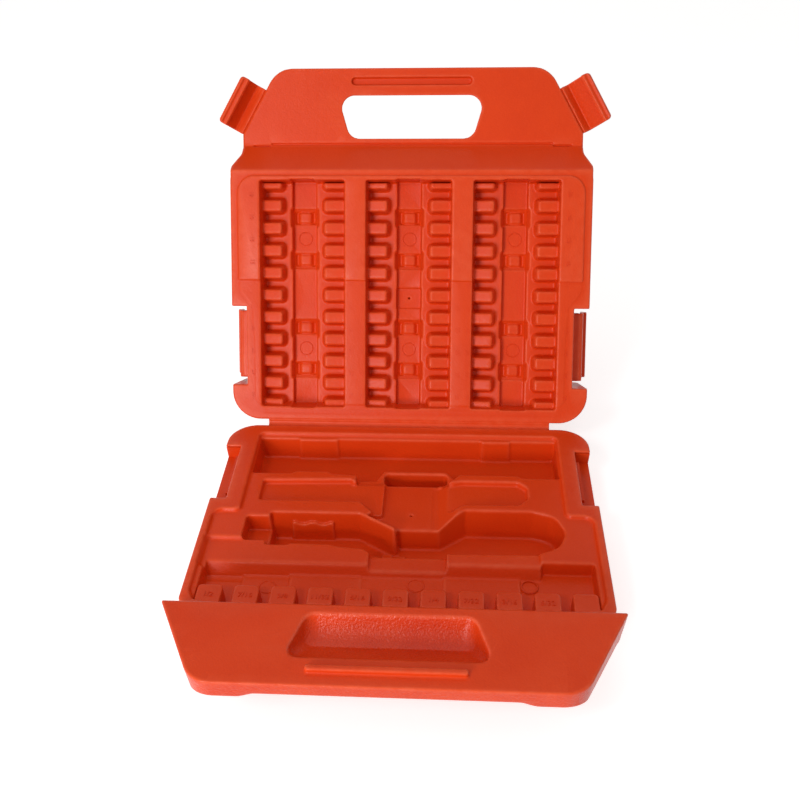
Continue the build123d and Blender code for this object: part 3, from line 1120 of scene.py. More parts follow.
# The deep pocket, whose outline turns where the tongue ends, and the step at its left end.
TONGUE_END = (-3.5, 109.5)
LEFT_STEP = Pocket(
    rectangle(-100, -82, 98, 119), corners=2.5, floor=-14.5, draft=0.05, bottom_edge=1.0
)
DEEP_POCKET = Pocket(
    [
        (-85, 94), (-27, 94), TONGUE_END, (-3.5, 102), (24, 102), (41, 89), (84, 89), (98, 93.5),
        (104, 108), (99, 121.5), (86, 127.5), (31, 128.5), (-18, 128.5), (-23, 124.5), (-39.5, 123),
        (-43, 121.5), (-68, 121), (-71, 122.6), (-85, 122.6),
    ],
    corners=(2, 3, 0.6, 0.6, 2, 3, 10, 12, 14, 12, 6, 2, 2, 4, 2, 1, 1, 1, 2),
    floor=-24.0, draft=0.08, bottom_edge=2.0,
)
FRONT_COMPARTMENT = Pocket(
    [
        (-119, 142.5), (-22, 142.5), (-20, 143), (29, 143), (31, 143.5), (85, 143), (87, 135.5),
        (119, 135.5), (119, 175), (-119, 175),
    ],
    corners=2.0, floor=-13.0, draft=0.14, bottom_edge=1.2,
)
# The shallow pockets are cut before the tongue is laid, and the others after it.
HIGH_POCKETS = (SLOT_RIDGE, CENTRE_PANEL, LEFT_SHALLOW, RIGHT_SHALLOW, LEFT_RIDGE, RIGHT_RIDGE)
DEEP_POCKETS = (CHANNEL, CENTRE_SLOT, LEFT_STEP, DEEP_POCKET, LOW_BAR, FRONT_COMPARTMENT)
# Raised places in the deep pocket, in the slot and in the front compartment.
RISERS = (
    Riser(-22, 3, 112, 131, -22.3),
    Riser(-12, -5, 112, 131, -20.9),
    Riser(3, 17, 120, 131, -20.9),
    Riser(-10, 0, 50, 60, -18.9),
    Riser(12, 22, 50, 60, -18.9),
    Riser(-95, -66, 138, 176, -12.3),
    Riser(-66, -22, 138, 176, -11.3),
    Riser(-22, 28, 138, 176, -11.8),
    Riser(28, 74, 138, 176, -10.8),
    Riser(74, 119, 133, 176, -11.6),
)


@dataclass
class BaseTray:
    """The tray moulded into the base, with its pockets.

    Each scale turns the height over a leaning face into the distance from it.
    """

    recess_depth: float = 2.5
    recess_draft: float = 0.35
    recess_corners: tuple[float, ...] = (4, 3, 7, 12, 12, 7, 3, 4)
    half: float = 105.5
    front_half: float = 122.5
    rear: float = 11.5
    shoulder: float = 94.5
    front: float = 177.0
    core_bottom: float = 27.0
    edge_radius: float = 1.1
    soft_edge: float = 0.8
    bank_edge: float = 1.2
    riser_fillet: float = 0.5
    riser_inset: float = 0.5
    slant_start: float = 24.0
    slant_rise: float = 0.54
    slant_scale: float = 0.88
    slant_region: tuple[float, ...] = (20, 42, 61, 106)
    tongue_start: Point = (-27.0, 94.0)
    tongue_fall: float = 6.5
    tongue_lean: float = 0.9
    tongue_scale: float = 0.74
    bank_foot: float = 143.5
    bank_lean: float = 0.62
    bank_scale: float = 0.85
    bank_region: tuple[float, ...] = (-118, 86.5, 130, 147)
    snap_block: Riser = Riser(-71, -44, 91, 96.6, -9.5, draft=0.03, edge=0.6)
    dip_centres: Point = (-64.0, -51.0)
    dip_level: float = -7.6
    dip_radius: float = 3.6
    dip_stretch: float = 0.7
    dip_edge: float = 0.4
    ring_places: tuple[Place, ...] = (
        (-78.8, 152.4, -12.3), (11.2, 148.6, -11.8), (79.4, 148.0, -10.8),
    )
    ring_radius: float = 5.0
    needle: Point = (6.1, 87.8)
    needle_radius: float = 0.8
    needle_depth: float = 4.0
    margin: float = 3.0
    step: float = 0.75

    def slanted_side(self, grid: Grid) -> Array:
        """The room over the wide sloping wall on the right of the centre panel.

        Args:
            grid: the tray's grid.

        Returns:
            The distances, below 0 in the room.
        """
        region = grid.inside(rectangle(*self.slant_region))
        slope = (CENTRE_PANEL.floor + (grid.x - self.slant_start) * self.slant_rise) - grid.w
        return np.maximum(np.maximum(region, slope * self.slant_scale), CENTRE_PANEL.floor - grid.w)

    def bank(self, grid: Grid) -> Array:
        """What the sloping far wall of the front compartment leaves free.

        Args:
            grid: the tray's grid.

        Returns:
            The distances, below 0 in the free room.
        """
        floor = FRONT_COMPARTMENT.floor
        region = grid.inside(rounded(rectangle(*self.bank_region), 1.0))
        slope = (self.bank_foot - self.bank_lean * (grid.w - floor) - grid.v) * self.bank_scale
        return np.maximum(np.maximum(region, slope), floor - grid.w)

    def tongue(self, grid: Grid) -> Array:
        """The crest that runs down beside the panel, along the deep pocket's slanted edge.

        Args:
            grid: the tray's grid.

        Returns:
            The distances, below 0 in the crest.
        """
        x0, v0 = self.tongue_start
        x1, v1 = TONGUE_END
        length = math.hypot(x1 - x0, v1 - v0)
        across = ((grid.x - x0) * (v1 - v0) - (grid.v - v0) * (x1 - x0)) / length
        crest = -self.recess_depth - self.tongue_fall * np.clip((grid.x - x0) / (x1 - x0), 0, 1)
        top = (grid.w - crest + np.maximum(across, 0) * self.tongue_lean) * self.tongue_scale
        return np.maximum(top, grid.inside(rectangle(x0 + 2, x1 + 2, v0 - 3, v1 + 2)))

    def recess(self, grid: Grid) -> Array:
        """The shallow recess that holds all the pockets.

        Args:
            grid: the tray's grid.

        Returns:
            The distances, below 0 in the recess.
        """
        points = [(self.half, self.rear), (self.half, self.shoulder)]
        points += [(self.front_half, self.shoulder), (self.front_half, self.front)]
        outline = grid.inside(rounded(both_sides(points), self.recess_corners, 8))
        return grid.pocket(outline, -self.recess_depth, self.recess_draft, self.soft_edge)

    def snap(self, grid: Grid) -> Array:
        """The block on the deep pocket's far wall, with two round dips for shanks.

        Args:
            grid: the tray's grid.

        Returns:
            The distances, below 0 in the block.
        """
        block = self.snap_block.block(grid)
        for centre in self.dip_centres:
            across = (grid.x - centre) * self.dip_stretch
            dip = np.hypot(across, grid.w - self.dip_level) - self.dip_radius
            block = cut(block, dip, self.dip_edge)
        return block

    def build(self, material: bpy.types.Material) -> None:
        """Build the tray and its ring marks, and stand the tray in for its CAD node.

        Args:
            material: their finish.
        """
        outer = CASE.half_width() + self.margin
        grid = Grid(
            (-outer, 0.0, -self.core_bottom - 2), (outer, CASE.length + self.margin, 2.0), self.step
        )
        solid = solid_half(grid, self.core_bottom)
        form = cut(solid, self.recess(grid), self.soft_edge)
        for pocket in HIGH_POCKETS:
            form = cut(form, pocket.hollow(grid, -self.recess_depth), self.edge_radius)
        form = join(form, self.tongue(grid), self.soft_edge)
        for pocket in DEEP_POCKETS:
            form = cut(form, pocket.hollow(grid, -self.recess_depth), self.edge_radius)
        form = cut(form, self.slanted_side(grid), self.soft_edge)
        form = cut(form, self.bank(grid), self.bank_edge)
        needle = np.hypot(grid.x - self.needle[0], grid.v - self.needle[1]) - self.needle_radius
        form = cut(form, np.maximum(needle, CENTRE_PANEL.floor - self.needle_depth - grid.w), 0)
        for block in [self.snap(grid)] + [riser.block(grid) for riser in RISERS]:
            form = join(form, np.maximum(block, solid + self.riser_inset), self.riser_fillet)
        piece = Skin("base_tray_moulding", form, grid, CASE.placement(Half.BASE)).build(material)
        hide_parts("base_tray")
        finished(piece, "base")
        rings = RingMarks("tray_ring_marks", list(self.ring_places), self.ring_radius, Half.BASE)
        rings.build(material)


@dataclass
class DrillTabs:
    """The row of tabs between the drill slots at the front of the tray, and their numbers."""

    pitch: float = 22.15
    width: float = 15.0
    far: float = 160.4
    near: float = 174.9
    floor: float = -13.0
    top: float = -2.6
    corners: tuple[float, ...] = (2.6, 2.6, 0.5, 0.5)
    draft: float = 0.07
    edge: float = 0.9
    root: float = 0.5
    number_v: float = 169.0
    number_size: float = 5.0
    number_relief: float = 0.4
    labels: tuple[str, ...] = (
        "1/2", "7/16", "3/8", "11/32", "5/16", "9/32", "1/4", "7/32", "3/16", "5/32", "",
    )

    def centres(self) -> list[float]:
        """The x position of each tab."""
        middle = (len(self.labels) - 1) / 2
        return [(i - middle) * self.pitch for i in range(len(self.labels))]

    def tab(self, grid: Grid, centre: float) -> Array:
        """The form of the tab at an x position.

        Args:
            grid: the grid of the row of tabs.
            centre: the x of the tab's middle.

        Returns:
            The distances, below 0 in the tab.
        """
        half = self.width / 2
        corners = rectangle(centre - half, centre + half, self.far, self.near)
        outline = grid.inside(rounded(corners, self.corners))
        block = grid.block(outline, self.top, self.draft, self.edge)
        return np.maximum(block, self.floor - self.root - grid.w)

    def build(self, material: bpy.types.Material) -> None:
        """Build all the tabs as one piece, and the numbers on them as another.

        Args:
            material: their finish.
        """
        grid = Grid((-122.0, 158.0, self.floor - 1.6), (122.0, 178.0, 0.0), 0.6)
        form = either(self.tab(grid, centre) for centre in self.centres())
        piece = Skin("drill_tab_row", form, grid, CASE.placement(Half.BASE)).build(material)
        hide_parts("drill_tabs")
        finished(piece, "base")
        marks = [
            Mark(label, (centre, self.number_v, self.top), (1.0, 0.0), (0.0, -1.0), self.number_size)
            for centre, label in zip(self.centres(), self.labels) if label
        ]
        RaisedNumbers("drill_tab_numbers", marks, Half.BASE, self.number_relief).build(material)


@dataclass
class BaseHandle:
    """The base's half of the handle: bevel, mating face with its scoop, and underside.

    Each scale turns the height over a leaning face into the distance from it.
    """

    reach: float = 254.3
    root_half: float = 128.0
    root_top: float = -1.2
    slope: float = 0.50
    corner: float = 18.0
    side_draft: float = 0.12
    underside: tuple[Point, ...] = ((236.5, 5.0), (204.0, 2.0), (188.0, -8.0))
    root_bottom: float = -13.0
    edge: float = 8.5
    end_edge: float = 11.5
    edge_slant: Point = (9.0, 4.0)
    lobe_start: float = 72.0
    lobe_blend: float = 6.0
    rim_radius: float = 1.0
    scoop_depth: float = 13.0
    scoop_draft: float = 0.05
    scoop_far_slope: float = 0.75
    scoop_far_scale: float = 0.8
    scoop_side_slope: float = 0.45
    scoop_low: float = 217.0
    scoop_ramp: float = 0.52
    scoop_scale: float = 0.9
    scoop_corner: float = 6.0
    scoop_bottom_edge: float = 5.0
    scoop_rim: float = 1.2
    bar_v: float = 244.0
    bar_length: float = 83.6
    bar_width: float = 3.6
    bar_height: float = 2.8
    bar_corner: float = 1.6
    bar_draft: float = 0.08
    bar_edge: float = 0.5
    bar_root: float = 1.5
    bar_fillet: float = 0.3
    coarse_margin: float = 1.2
    coarse_depth: float = 0.15
    coarse_edge: float = 2.5
    coarse_edge_depth: float = 0.4
    coarse_side: float = 4.5
    step: float = 0.75

    def side_view(self, edge: float) -> list[Point]:
        """Outline of the handle in the side view for one thickness of its front edge.

        Args:
            edge: the thickness.

        Returns:
            The outline's corners, as (v, w).
        """
        root = CASE.length - 1
        bottom = CASE.rise - edge
        points = [(root, self.root_top), (CASE.handle_start(), CASE.rise), (self.reach, CASE.rise)]
        points += [(self.reach, bottom), (self.reach - self.edge_slant[0], bottom - self.edge_slant[1])]
        return points + [*self.underside, (root, self.root_bottom)]

    def half_at(self, v: Array | float) -> Array | float:
        """Half of the handle's width at each v of its slanted sides."""
        return self.root_half - self.slope * (v - CASE.handle_start())

    def plan_outline(self) -> list[Point]:
        """Outline of the handle seen from above.

        Returns:
            The outline, with round corners.
        """
        points = [(self.root_half, CASE.length - 4), (self.root_half, CASE.handle_start())]
        points += [(self.half_at(self.reach), self.reach)]
        return rounded(both_sides(points), [0, 1, self.corner, self.corner, 1, 0], 10)

    def scoop(self, grid: Grid) -> Array:
        """The finger hollow: a long slope at its far side, and a floor that rises to its near side.

        Args:
            grid: the handle's grid.

        Returns:
            The distances, below 0 in the hollow.
        """
        deep = CASE.rise - grid.w
        outline = grid.inside(SCOOP.outline())
        far = (SCOOP.near - grid.v) + self.scoop_far_slope * deep
        sides = np.abs(grid.x) - SCOOP.half(grid.v) + self.scoop_side_slope * deep
        ramp = np.maximum(grid.v - self.scoop_low, 0) * self.scoop_ramp
        floor = CASE.rise - self.scoop_depth + ramp - grid.w
        upright = meet(outline + self.scoop_draft * deep, sides * self.scoop_scale, self.scoop_corner)
        walls = meet(upright, far * self.scoop_far_scale, self.scoop_corner)
        return meet(walls, floor * self.scoop_scale, self.scoop_bottom_edge)

    def bar(self, grid: Grid) -> Array:
        """The locating bar on the mating face.

        Args:
            grid: the handle's grid.

        Returns:
            The distances, below 0 in the bar.
        """
        x = self.bar_length / 2
        v = self.bar_width / 2
        outline = rounded(rectangle(-x, x, self.bar_v - v, self.bar_v + v), self.bar_corner)
        body = grid.block(grid.inside(outline), CASE.rise + self.bar_height, self.bar_draft, self.bar_edge)
        return np.maximum(body, CASE.rise - self.bar_root - grid.w)

    def coarse(self, middles: Array) -> Array:
        """Which faces have the coarse grain: those in the scoop and on the front edge.

        Args:
            middles: N by 3 array of the middles of faces.

        Returns:
            Whether each face is coarse.
        """
        x, v, w = middles.T
        margin = self.coarse_margin
        in_scoop = (np.abs(x) < SCOOP.half(v) + margin) & (w < CASE.rise - self.coarse_depth)
        in_scoop &= (v > SCOOP.near - margin) & (v < SCOOP.far + margin)
        in_scoop &= w > CASE.rise - self.scoop_depth - 1
        at_end = v > self.reach - self.coarse_edge
        at_side = np.abs(x) > self.half_at(v) - self.coarse_side
        return in_scoop | ((w < CASE.rise - self.coarse_edge_depth) & (at_end | at_side))

    def build(self, satin: bpy.types.Material, coarse: bpy.types.Material) -> None:
        """Build the handle and stand it in for both of its CAD nodes.

        Args:
            satin: the finish of most of it.
            coarse: the finish of the faces with the coarse grain.
        """
        grid = Grid((-131.0, 178.0, -16.0), (131.0, 257.0, 27.0), self.step)
        plan = grid.inside(self.plan_outline()) - self.side_draft * (grid.w - CASE.rise)
        middle = grid.profile(self.side_view(self.edge))
        ends = grid.profile(self.side_view(self.end_edge))
        past = np.abs(grid.x) - self.lobe_start + self.lobe_blend
        share = np.clip(past / (2 * self.lobe_blend), 0, 1)
        share = share * share * (3 - 2 * share)
        form = meet(middle * (1 - share) + ends * share, plan, self.rim_radius)
        form = np.maximum(form, CASE.length - grid.v)
        form = cut(form, self.scoop(grid), self.scoop_rim)
        form = join(form, self.bar(grid), self.bar_fillet)
        skin = Skin("base_handle_moulding", form, grid, CASE.placement(Half.BASE))
        piece = skin.build(satin)
        skin.second_finish(piece, coarse, self.coarse)
        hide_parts("base_handle_face", "base_handle_underside")
        finished(piece, "base")


@dataclass
class LidMoulding:
    """The lid's inner skin in one piece with its rack and its half of the handle."""

    cavity_half: float = 106.0
    rack_start: float = 12.7
    rack_end: float = 171.2
    bay_width: float = 60.3
    bay_pitch: float = 75.25
    bay_shift: float = 0.5
    bay_before: float = 0.8
    bay_beyond: float = 1.8
    bay_corner: float = 1.5
    bay_draft: float = 0.1
    bay_floor_edge: float = 1.2
    bay_rim: float = 0.7
    ledge: float = -13.0
    ledge_lean: float = 0.13
    channel_start: float = 21.4
    channel_end: float = 38.8
    channel: Hollow = Hollow(floor=-17.6, draft=0.05, floor_edge=0.5, rim=0.6, corner=1.0)
    pad: Hollow = Hollow(floor=-18.8, draft=0.1, floor_edge=0.3, rim=0.3, corner=1.5)
    pit: Hollow = Hollow(floor=-21.3, draft=0.5, floor_edge=0.4, rim=0.4, corner=1.0)
    well: Hollow = Hollow(floor=-18.9, draft=0.1, floor_edge=0.3, rim=0.2, corner=1.0)
    pad_inset: float = 0.3
    pad_places: tuple[float, float] = (132.0, 52.5)
    pad_reach: float = 21.5
    pad_radius: float = 4.7
    pit_half: float = 5.6
    post_offset: float = 15.1
    post_half: Point = (3.4, 3.0)
    post_top: float = -18.4
    post_corner: float = 0.8
    post_draft: float = 0.75
    post_edge: float = 0.4
    post_fillet: float = 0.8
    well_half: float = 7.5
    needle_v: float = 89.7
    needle_radius: float = 0.8
    needle_depth: float = 4.0
    border_step: float = 103.0
    border_high: float = 1.3
    border_low: float = 0.28
    border_upper: Point = (121.5, 176.0)
    border_upper_corners: tuple[float, ...] = (1, 12, 12, 1)
    border_upper_edge: float = 0.3
    border_lower: tuple[Point, ...] = ((110.5, 14.0), (110.5, 60.0), (112.0, 84.0), (121.0, 96.0))
    border_lower_corners: tuple[float, ...] = (5, 12, 8, 8, 0, 0, 8, 8, 12, 5)
    border_lower_edge: float = 0.25
    border_draft: float = 0.1
    border_root: float = 1.5
    number_ceiling: float = 0.36
    number_relief: float = 0.45
    number_size: float = 4.0
    number_columns: tuple[float, ...] = (-111.6, -41.0, -33.6, 34.8, 42.0, 110.8)
    labels: tuple[str, ...] = ("10", "10", "15", "15", "20", "20", "25", "25", "27", "30")
    pitch: float = 15.85
    rows: int = 11
    tooth_width: float = 7.4
    tooth_top: float = -4.4
    tooth_draft: float = 0.22
    tooth_end_slope: float = 0.5
    tooth_corner: float = 1.8
    tooth_margin: float = 4.0
    tooth_root: float = 3.0
    tooth_edge: float = 1.0
    tooth_fillet: float = 0.9
    left_reach: float = 15.0
    left_lean: float = 0.17
    right_reach: float = 15.3
    right_lean: float = 0.02
    step: float = 0.75
    core_bottom: float = 24.0
    handle_sides: tuple[Point, ...] = ((127.0, 170.0), (127.0, 183.0), (121.8, 192.5), (121.8, 207.0))
    handle_slope: float = 0.548
    reach: float = 253.3
    handle_corner: float = 20.0
    handle_edge: float = 1.4
    handle_back: float = -33.1
    handle_lap: float = 9.0
    handle_lap_depth: float = 1.9
    hole_rim: float = 0.7
    hole_flare: float = 0.45
    groove_outline: tuple[float, ...] = (-43.0, 43.0, 240.9, 246.5)
    groove: Hollow = Hollow(-CASE.rise - 3.2, draft=0.12, floor_edge=0.8, rim=0.4, corner=2.7)
    crease_outline: tuple[float, ...] = (-101, 101, 199.2, 200.5)
    crease_corner: float = 0.6
    crease_ends: tuple[float, ...] = (101, 114, 198.0, 199.2)
    crease_depth: float = 1.5
    crease_edge: float = 0.3
    hinge_lines: tuple[float, float] = (7.2, 9.4)
    hinge_line_half: float = 0.3
    hinge_line_depth: float = 0.55
    hinge_line_draft: float = 0.5
    hinge_line_edge: float = 0.1
    line_rim: float = 0.3
    bead_fillet: float = 0.3
    border_fillet: float = 0.2

    def bay_left(self, index: int) -> float:
        """Left edge of a bay."""
        return (index - 1) * self.bay_pitch - self.bay_width / 2 - self.bay_shift

    def rack_long(self, left: float, right: float) -> list[Point]:
        """Corners of a hollow that is as long as the rack, between two x positions."""
        return rectangle(left, right, self.rack_start - self.bay_before, self.rack_end + self.bay_beyond)

    def handle(self, grid: Grid) -> Array:
        """The lid's half of the handle, without its hand hole.

        Args:
            grid: the lid's grid.

        Returns:
            The distances, below 0 in the handle.
        """
        lap = CASE.length - self.handle_lap
        root = CASE.length - 1
        side = [(lap, 0.0), (CASE.length, 0.0), (CASE.handle_start(), -CASE.rise)]
        side += [(self.reach, -CASE.rise), (self.reach, self.handle_back)]
        side += [(root, self.handle_back), (root, -self.handle_lap_depth), (lap, -self.handle_lap_depth)]
        slant_half, slant_start = self.handle_sides[-1]
        tip = slant_half - self.handle_slope * (self.reach - slant_start)
        points = [*self.handle_sides, (tip, self.reach)]
        radii = [0, 3, 5, 2, self.handle_corner, self.handle_corner, 2, 5, 3, 0]
        plan = grid.inside(rounded(both_sides(points), radii, 10))
        return meet(grid.profile(side), plan, self.handle_edge)

    def border(self, grid: Grid) -> Array:
        """The two low steps of the lid's border, which sit in the base's recess.

        Args:
            grid: the lid's grid.

        Returns:
            The distances, below 0 in the steps.
        """
        half, end = self.border_upper
        upper = both_sides([(half, self.border_step), (half, end)])
        lower = both_sides([*self.border_lower, (self.border_lower[-1][0], self.border_step + 1)])
        upper_outline = grid.inside(rounded(upper, self.border_upper_corners, 8))
        lower_outline = grid.inside(rounded(lower, self.border_lower_corners, 8))
        high = grid.block(upper_outline, self.border_high, self.border_draft, self.border_upper_edge)
        low = grid.block(lower_outline, self.border_low, self.border_draft, self.border_lower_edge)
        return np.maximum(np.minimum(high, low), -self.border_root - grid.w)

    def bay(self, grid: Grid, index: int) -> Array:
        """One bay of the rack, down to its ledges, which rise towards its left wall.

        Args:
            grid: the lid's grid.
            index: number of the bay.

        Returns:
            The distances, below 0 in the bay.
        """
        left = self.bay_left(index)
        outline = rounded(self.rack_long(left, left + self.bay_width), self.bay_corner)
        from_channel = grid.x - left - self.channel_start
        floor = self.ledge + self.ledge_lean * np.clip(from_channel, -self.channel_start, 0)
        return grid.pocket(grid.inside(outline), floor, self.bay_draft, self.bay_floor_edge)

    def tooth(self, strip: Grid, centre: float, root: float, end: float, lean: float) -> Array:
        """One tooth: a soft block whose top leans towards the bay's wall.

        Args:
            strip: a grid as wide as the rack, which holds the tooth's row.
            centre: the v of its middle.
            root: the x of its end in the wall.
            end: the x of its free end.
            lean: fall of its top for each millimetre from its free end to the wall.

        Returns:
            The distances, below 0 in the tooth.
        """
        side = 1 if root < end else -1
        half = self.tooth_width / 2
        x0, x1 = sorted((root, end))
        outline = rounded(rectangle(x0, x1, centre - half, centre + half), self.tooth_corner)
        top = self.tooth_top + lean * side * (strip.x - end)
        slope = (self.tooth_end_slope - self.tooth_draft) * (strip.w - top)
        across = strip.inside(outline)
        along = side * (strip.x - end) + slope
        outline_and_end = meet(across, along, self.tooth_corner)
        return strip.block(outline_and_end, top, self.tooth_draft, self.tooth_edge)

    def teeth(self, grid: Grid) -> Array:
        """All the teeth of the rack, each worked out only in the strip of the grid round its row.

        Args:
            grid: the lid's grid.

        Returns:
            The distances, below 0 in the teeth.
        """
        form = np.full([axis.size for axis in grid.axes], 50.0, np.float32)
        for row in range(self.rows):
            centre = self.rack_start + row * self.pitch
            reach = self.tooth_width / 2 + self.tooth_margin
            low, high = np.searchsorted(grid.axes[1], (centre - reach, centre + reach))
            strip = Grid(
                (grid.low[0], float(grid.axes[1][low]), grid.low[2]),
                (grid.high[0], float(grid.axes[1][high - 1]), grid.high[2]),
                grid.step,
            )
            part = form[:, low:high, :]
            for index in range(BAYS):
                left = self.bay_left(index)
                right = left + self.bay_width
                for root, end, lean in (
                    (left - self.tooth_root, left + self.left_reach, self.left_lean),
                    (right + self.tooth_root, right - self.right_reach, self.right_lean),
                ):
                    tooth = self.tooth(strip, centre, root, end, lean)
                    np.minimum(part, tooth[:, : part.shape[1], : part.shape[2]], out=part)
        return form

    def channel_part(self, index: int, middle: float, half: float, inset: float) -> list[Point]:
        """Corners of a stretch of one bay's channel.

        Args:
            index: number of the bay.
            middle: the v of the stretch's middle.
            half: half of its length.
            inset: how far it keeps from the channel's sides.

        Returns:
            The corners.
        """
        left = self.bay_left(index) + self.channel_start + inset
        right = self.bay_left(index) + self.channel_end - inset
        return rectangle(left, right, middle - half, middle + half)

    def channel_middle(self, index: int) -> float:
        """The x of the middle of a bay's channel."""
        return self.bay_left(index) + (self.channel_start + self.channel_end) / 2

    def post(self, grid: Grid, x: float, v: float) -> Array:
        """The low post that stands in a pit.

        Args:
            grid: the lid's grid.
            x: the x of its middle.
            v: the v of its middle.

        Returns:
            The distances, below 0 in the post.
        """
        half_x, half_v = self.post_half
        corners = rectangle(x - half_x, x + half_x, v - half_v, v + half_v)
        outline = grid.inside(rounded(corners, self.post_corner))
        return grid.block(outline, self.post_top, self.post_draft, self.post_edge)

    def bay_channel(self, grid: Grid, form: Array, index: int) -> Array:
        """Cut one bay's channel, with its low pads, their pits and the posts in them.

        Args:
            grid: the lid's grid.
            form: the lid so far.
            index: number of the bay.

        Returns:
            The lid with the channel.
        """
        left = self.bay_left(index)
        corners = self.rack_long(left + self.channel_start, left + self.channel_end)
        form = self.channel.cut_from(form, grid, corners, self.ledge)
        for pad_v in self.pad_places:
            corners = self.channel_part(index, pad_v, self.pad_reach, self.pad_inset)
            form = self.pad.cut_from(form, grid, corners, self.channel.floor)
            for centre in (pad_v - self.post_offset, pad_v + self.post_offset):
                corners = self.channel_part(index, centre, self.pit_half, self.pad_inset)
                form = self.pit.cut_from(form, grid, corners, self.channel.floor)
                post = self.post(grid, self.channel_middle(index), centre)
                form = join(form, post, self.post_fillet)
        return form

    def needle_well(self, grid: Grid, form: Array) -> Array:
        """Cut the shallow well in the middle bay's channel, with the moulding needle's hole.

        Args:
            grid: the lid's grid.
            form: the lid so far.

        Returns:
            The lid with the well.
        """
        index = BAYS // 2
        corners = self.channel_part(index, self.needle_v, self.well_half, 0.0)
        form = self.well.cut_from(form, grid, corners, self.channel.floor)
        across = grid.x - self.channel_middle(index)
        needle = np.hypot(across, grid.v - self.needle_v) - self.needle_radius
        return cut(form, np.maximum(needle, self.well.floor - self.needle_depth - grid.w), 0)

    def crease(self, grid: Grid) -> Array:
        """The fold line where the bevel meets the handle's face, with a slit at each end.

        Args:
            grid: the lid's grid.

        Returns:
            The distances, below 0 in the crease.
        """
        line = grid.inside(rounded(rectangle(*self.crease_outline), self.crease_corner))
        near, far, v0, v1 = self.crease_ends
        ends = [grid.inside(rectangle(near, far, v0, v1)), grid.inside(rectangle(-far, -near, v0, v1))]
        floor = -CASE.rise - self.crease_depth
        return grid.pocket(either([line, *ends]), floor, 0.0, self.crease_edge, -CASE.rise)

    def hinge_grooves(self, grid: Grid) -> Array:
        """Fine lines along the border beside the hinge.

        Args:
            grid: the lid's grid.

        Returns:
            The distances, below 0 in the lines.
        """
        half = self.cavity_half - 3
        width = self.hinge_line_half
        lines = [grid.inside(rectangle(-half, half, v - width, v + width)) for v in self.hinge_lines]
        depth = self.hinge_line_depth
        return grid.pocket(either(lines), -depth, self.hinge_line_draft, self.hinge_line_edge)

    def numbers(self) -> list[Mark]:
        """The size numbers beside the rack's gaps, which read along the rack.

        Returns:
            One mark for each number.
        """
        marks = []
        for row, label in enumerate(self.labels):
            v = self.rack_end - (row + 0.5) * self.pitch
            for x in self.number_columns:
                place = (x, v, self.number_level(x, v))
                marks.append(Mark(label, place, (0.0, -1.0), (1.0, 0.0), self.number_size))
        return marks

    def number_level(self, x: float, v: float) -> float:
        """Height of the border, or of the divider between two bays, under a number."""
        if abs(x) < self.cavity_half:
            return 0.0
        return self.border_high if v > self.border_step else self.number_ceiling - self.number_relief

    def form(self, grid: Grid) -> Array:
        """The whole moulding.

        Args:
            grid: the lid's grid.

        Returns:
            The distances, below 0 in the moulding.
        """
        form = join(solid_half(grid, self.core_bottom), self.handle(grid), 0)
        form = join(form, self.border(grid), self.border_fillet)
        form = cut(form, self.hinge_grooves(grid), self.line_rim)
        for index in range(BAYS):
            form = cut(form, self.bay(grid, index), self.bay_rim)
        inside = grid.inside(
            rectangle(-self.cavity_half, self.cavity_half, self.rack_start, self.rack_end)
        )
        teeth = np.maximum(np.maximum(self.teeth(grid), inside), self.ledge - 5 - grid.w)
        form = join(form, teeth, self.tooth_fillet)
        for index in range(BAYS):
            form = self.bay_channel(grid, form, index)
        form = self.needle_well(grid, form)
        flare = self.hole_flare * (grid.w + CASE.rise)
        form = cut(form, grid.inside(HAND_HOLE.outline()) + flare, self.hole_rim)
        form = self.groove.cut_from(form, grid, rectangle(*self.groove_outline), -CASE.rise)
        form = cut(form, self.crease(grid), self.line_rim)
        return join(form, either(flap.web(grid) for flap in FLAPS), self.bead_fillet)

    def build(self, material: bpy.types.Material) -> None:
        """Build the moulding, its ring marks and its numbers, and stand it in for its nodes.

        Args:
            material: their finish.
        """
        grid = Grid((-130.0, 0.0, self.handle_back - 2), (130.0, 256.0, 3.0), self.step)
        skin = Skin("lid_rack_moulding", self.form(grid), grid, CASE.placement(Half.LID))
        piece = skin.build(material)
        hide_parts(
            "lid_rack", "rack_teeth_left", "rack_teeth_middle", "rack_teeth_right",
            "lid_handle_face", "lid_handle_back",
        )
        finished(piece, "lid")
        places = [
            (self.channel_middle(i), v, self.pad.floor) for i in range(BAYS) for v in self.pad_places
        ]
        RingMarks("rack_ring_marks", places, self.pad_radius, Half.LID).build(material)
        RaisedNumbers("rack_numbers", self.numbers(), Half.LID, self.number_relief).build(material)


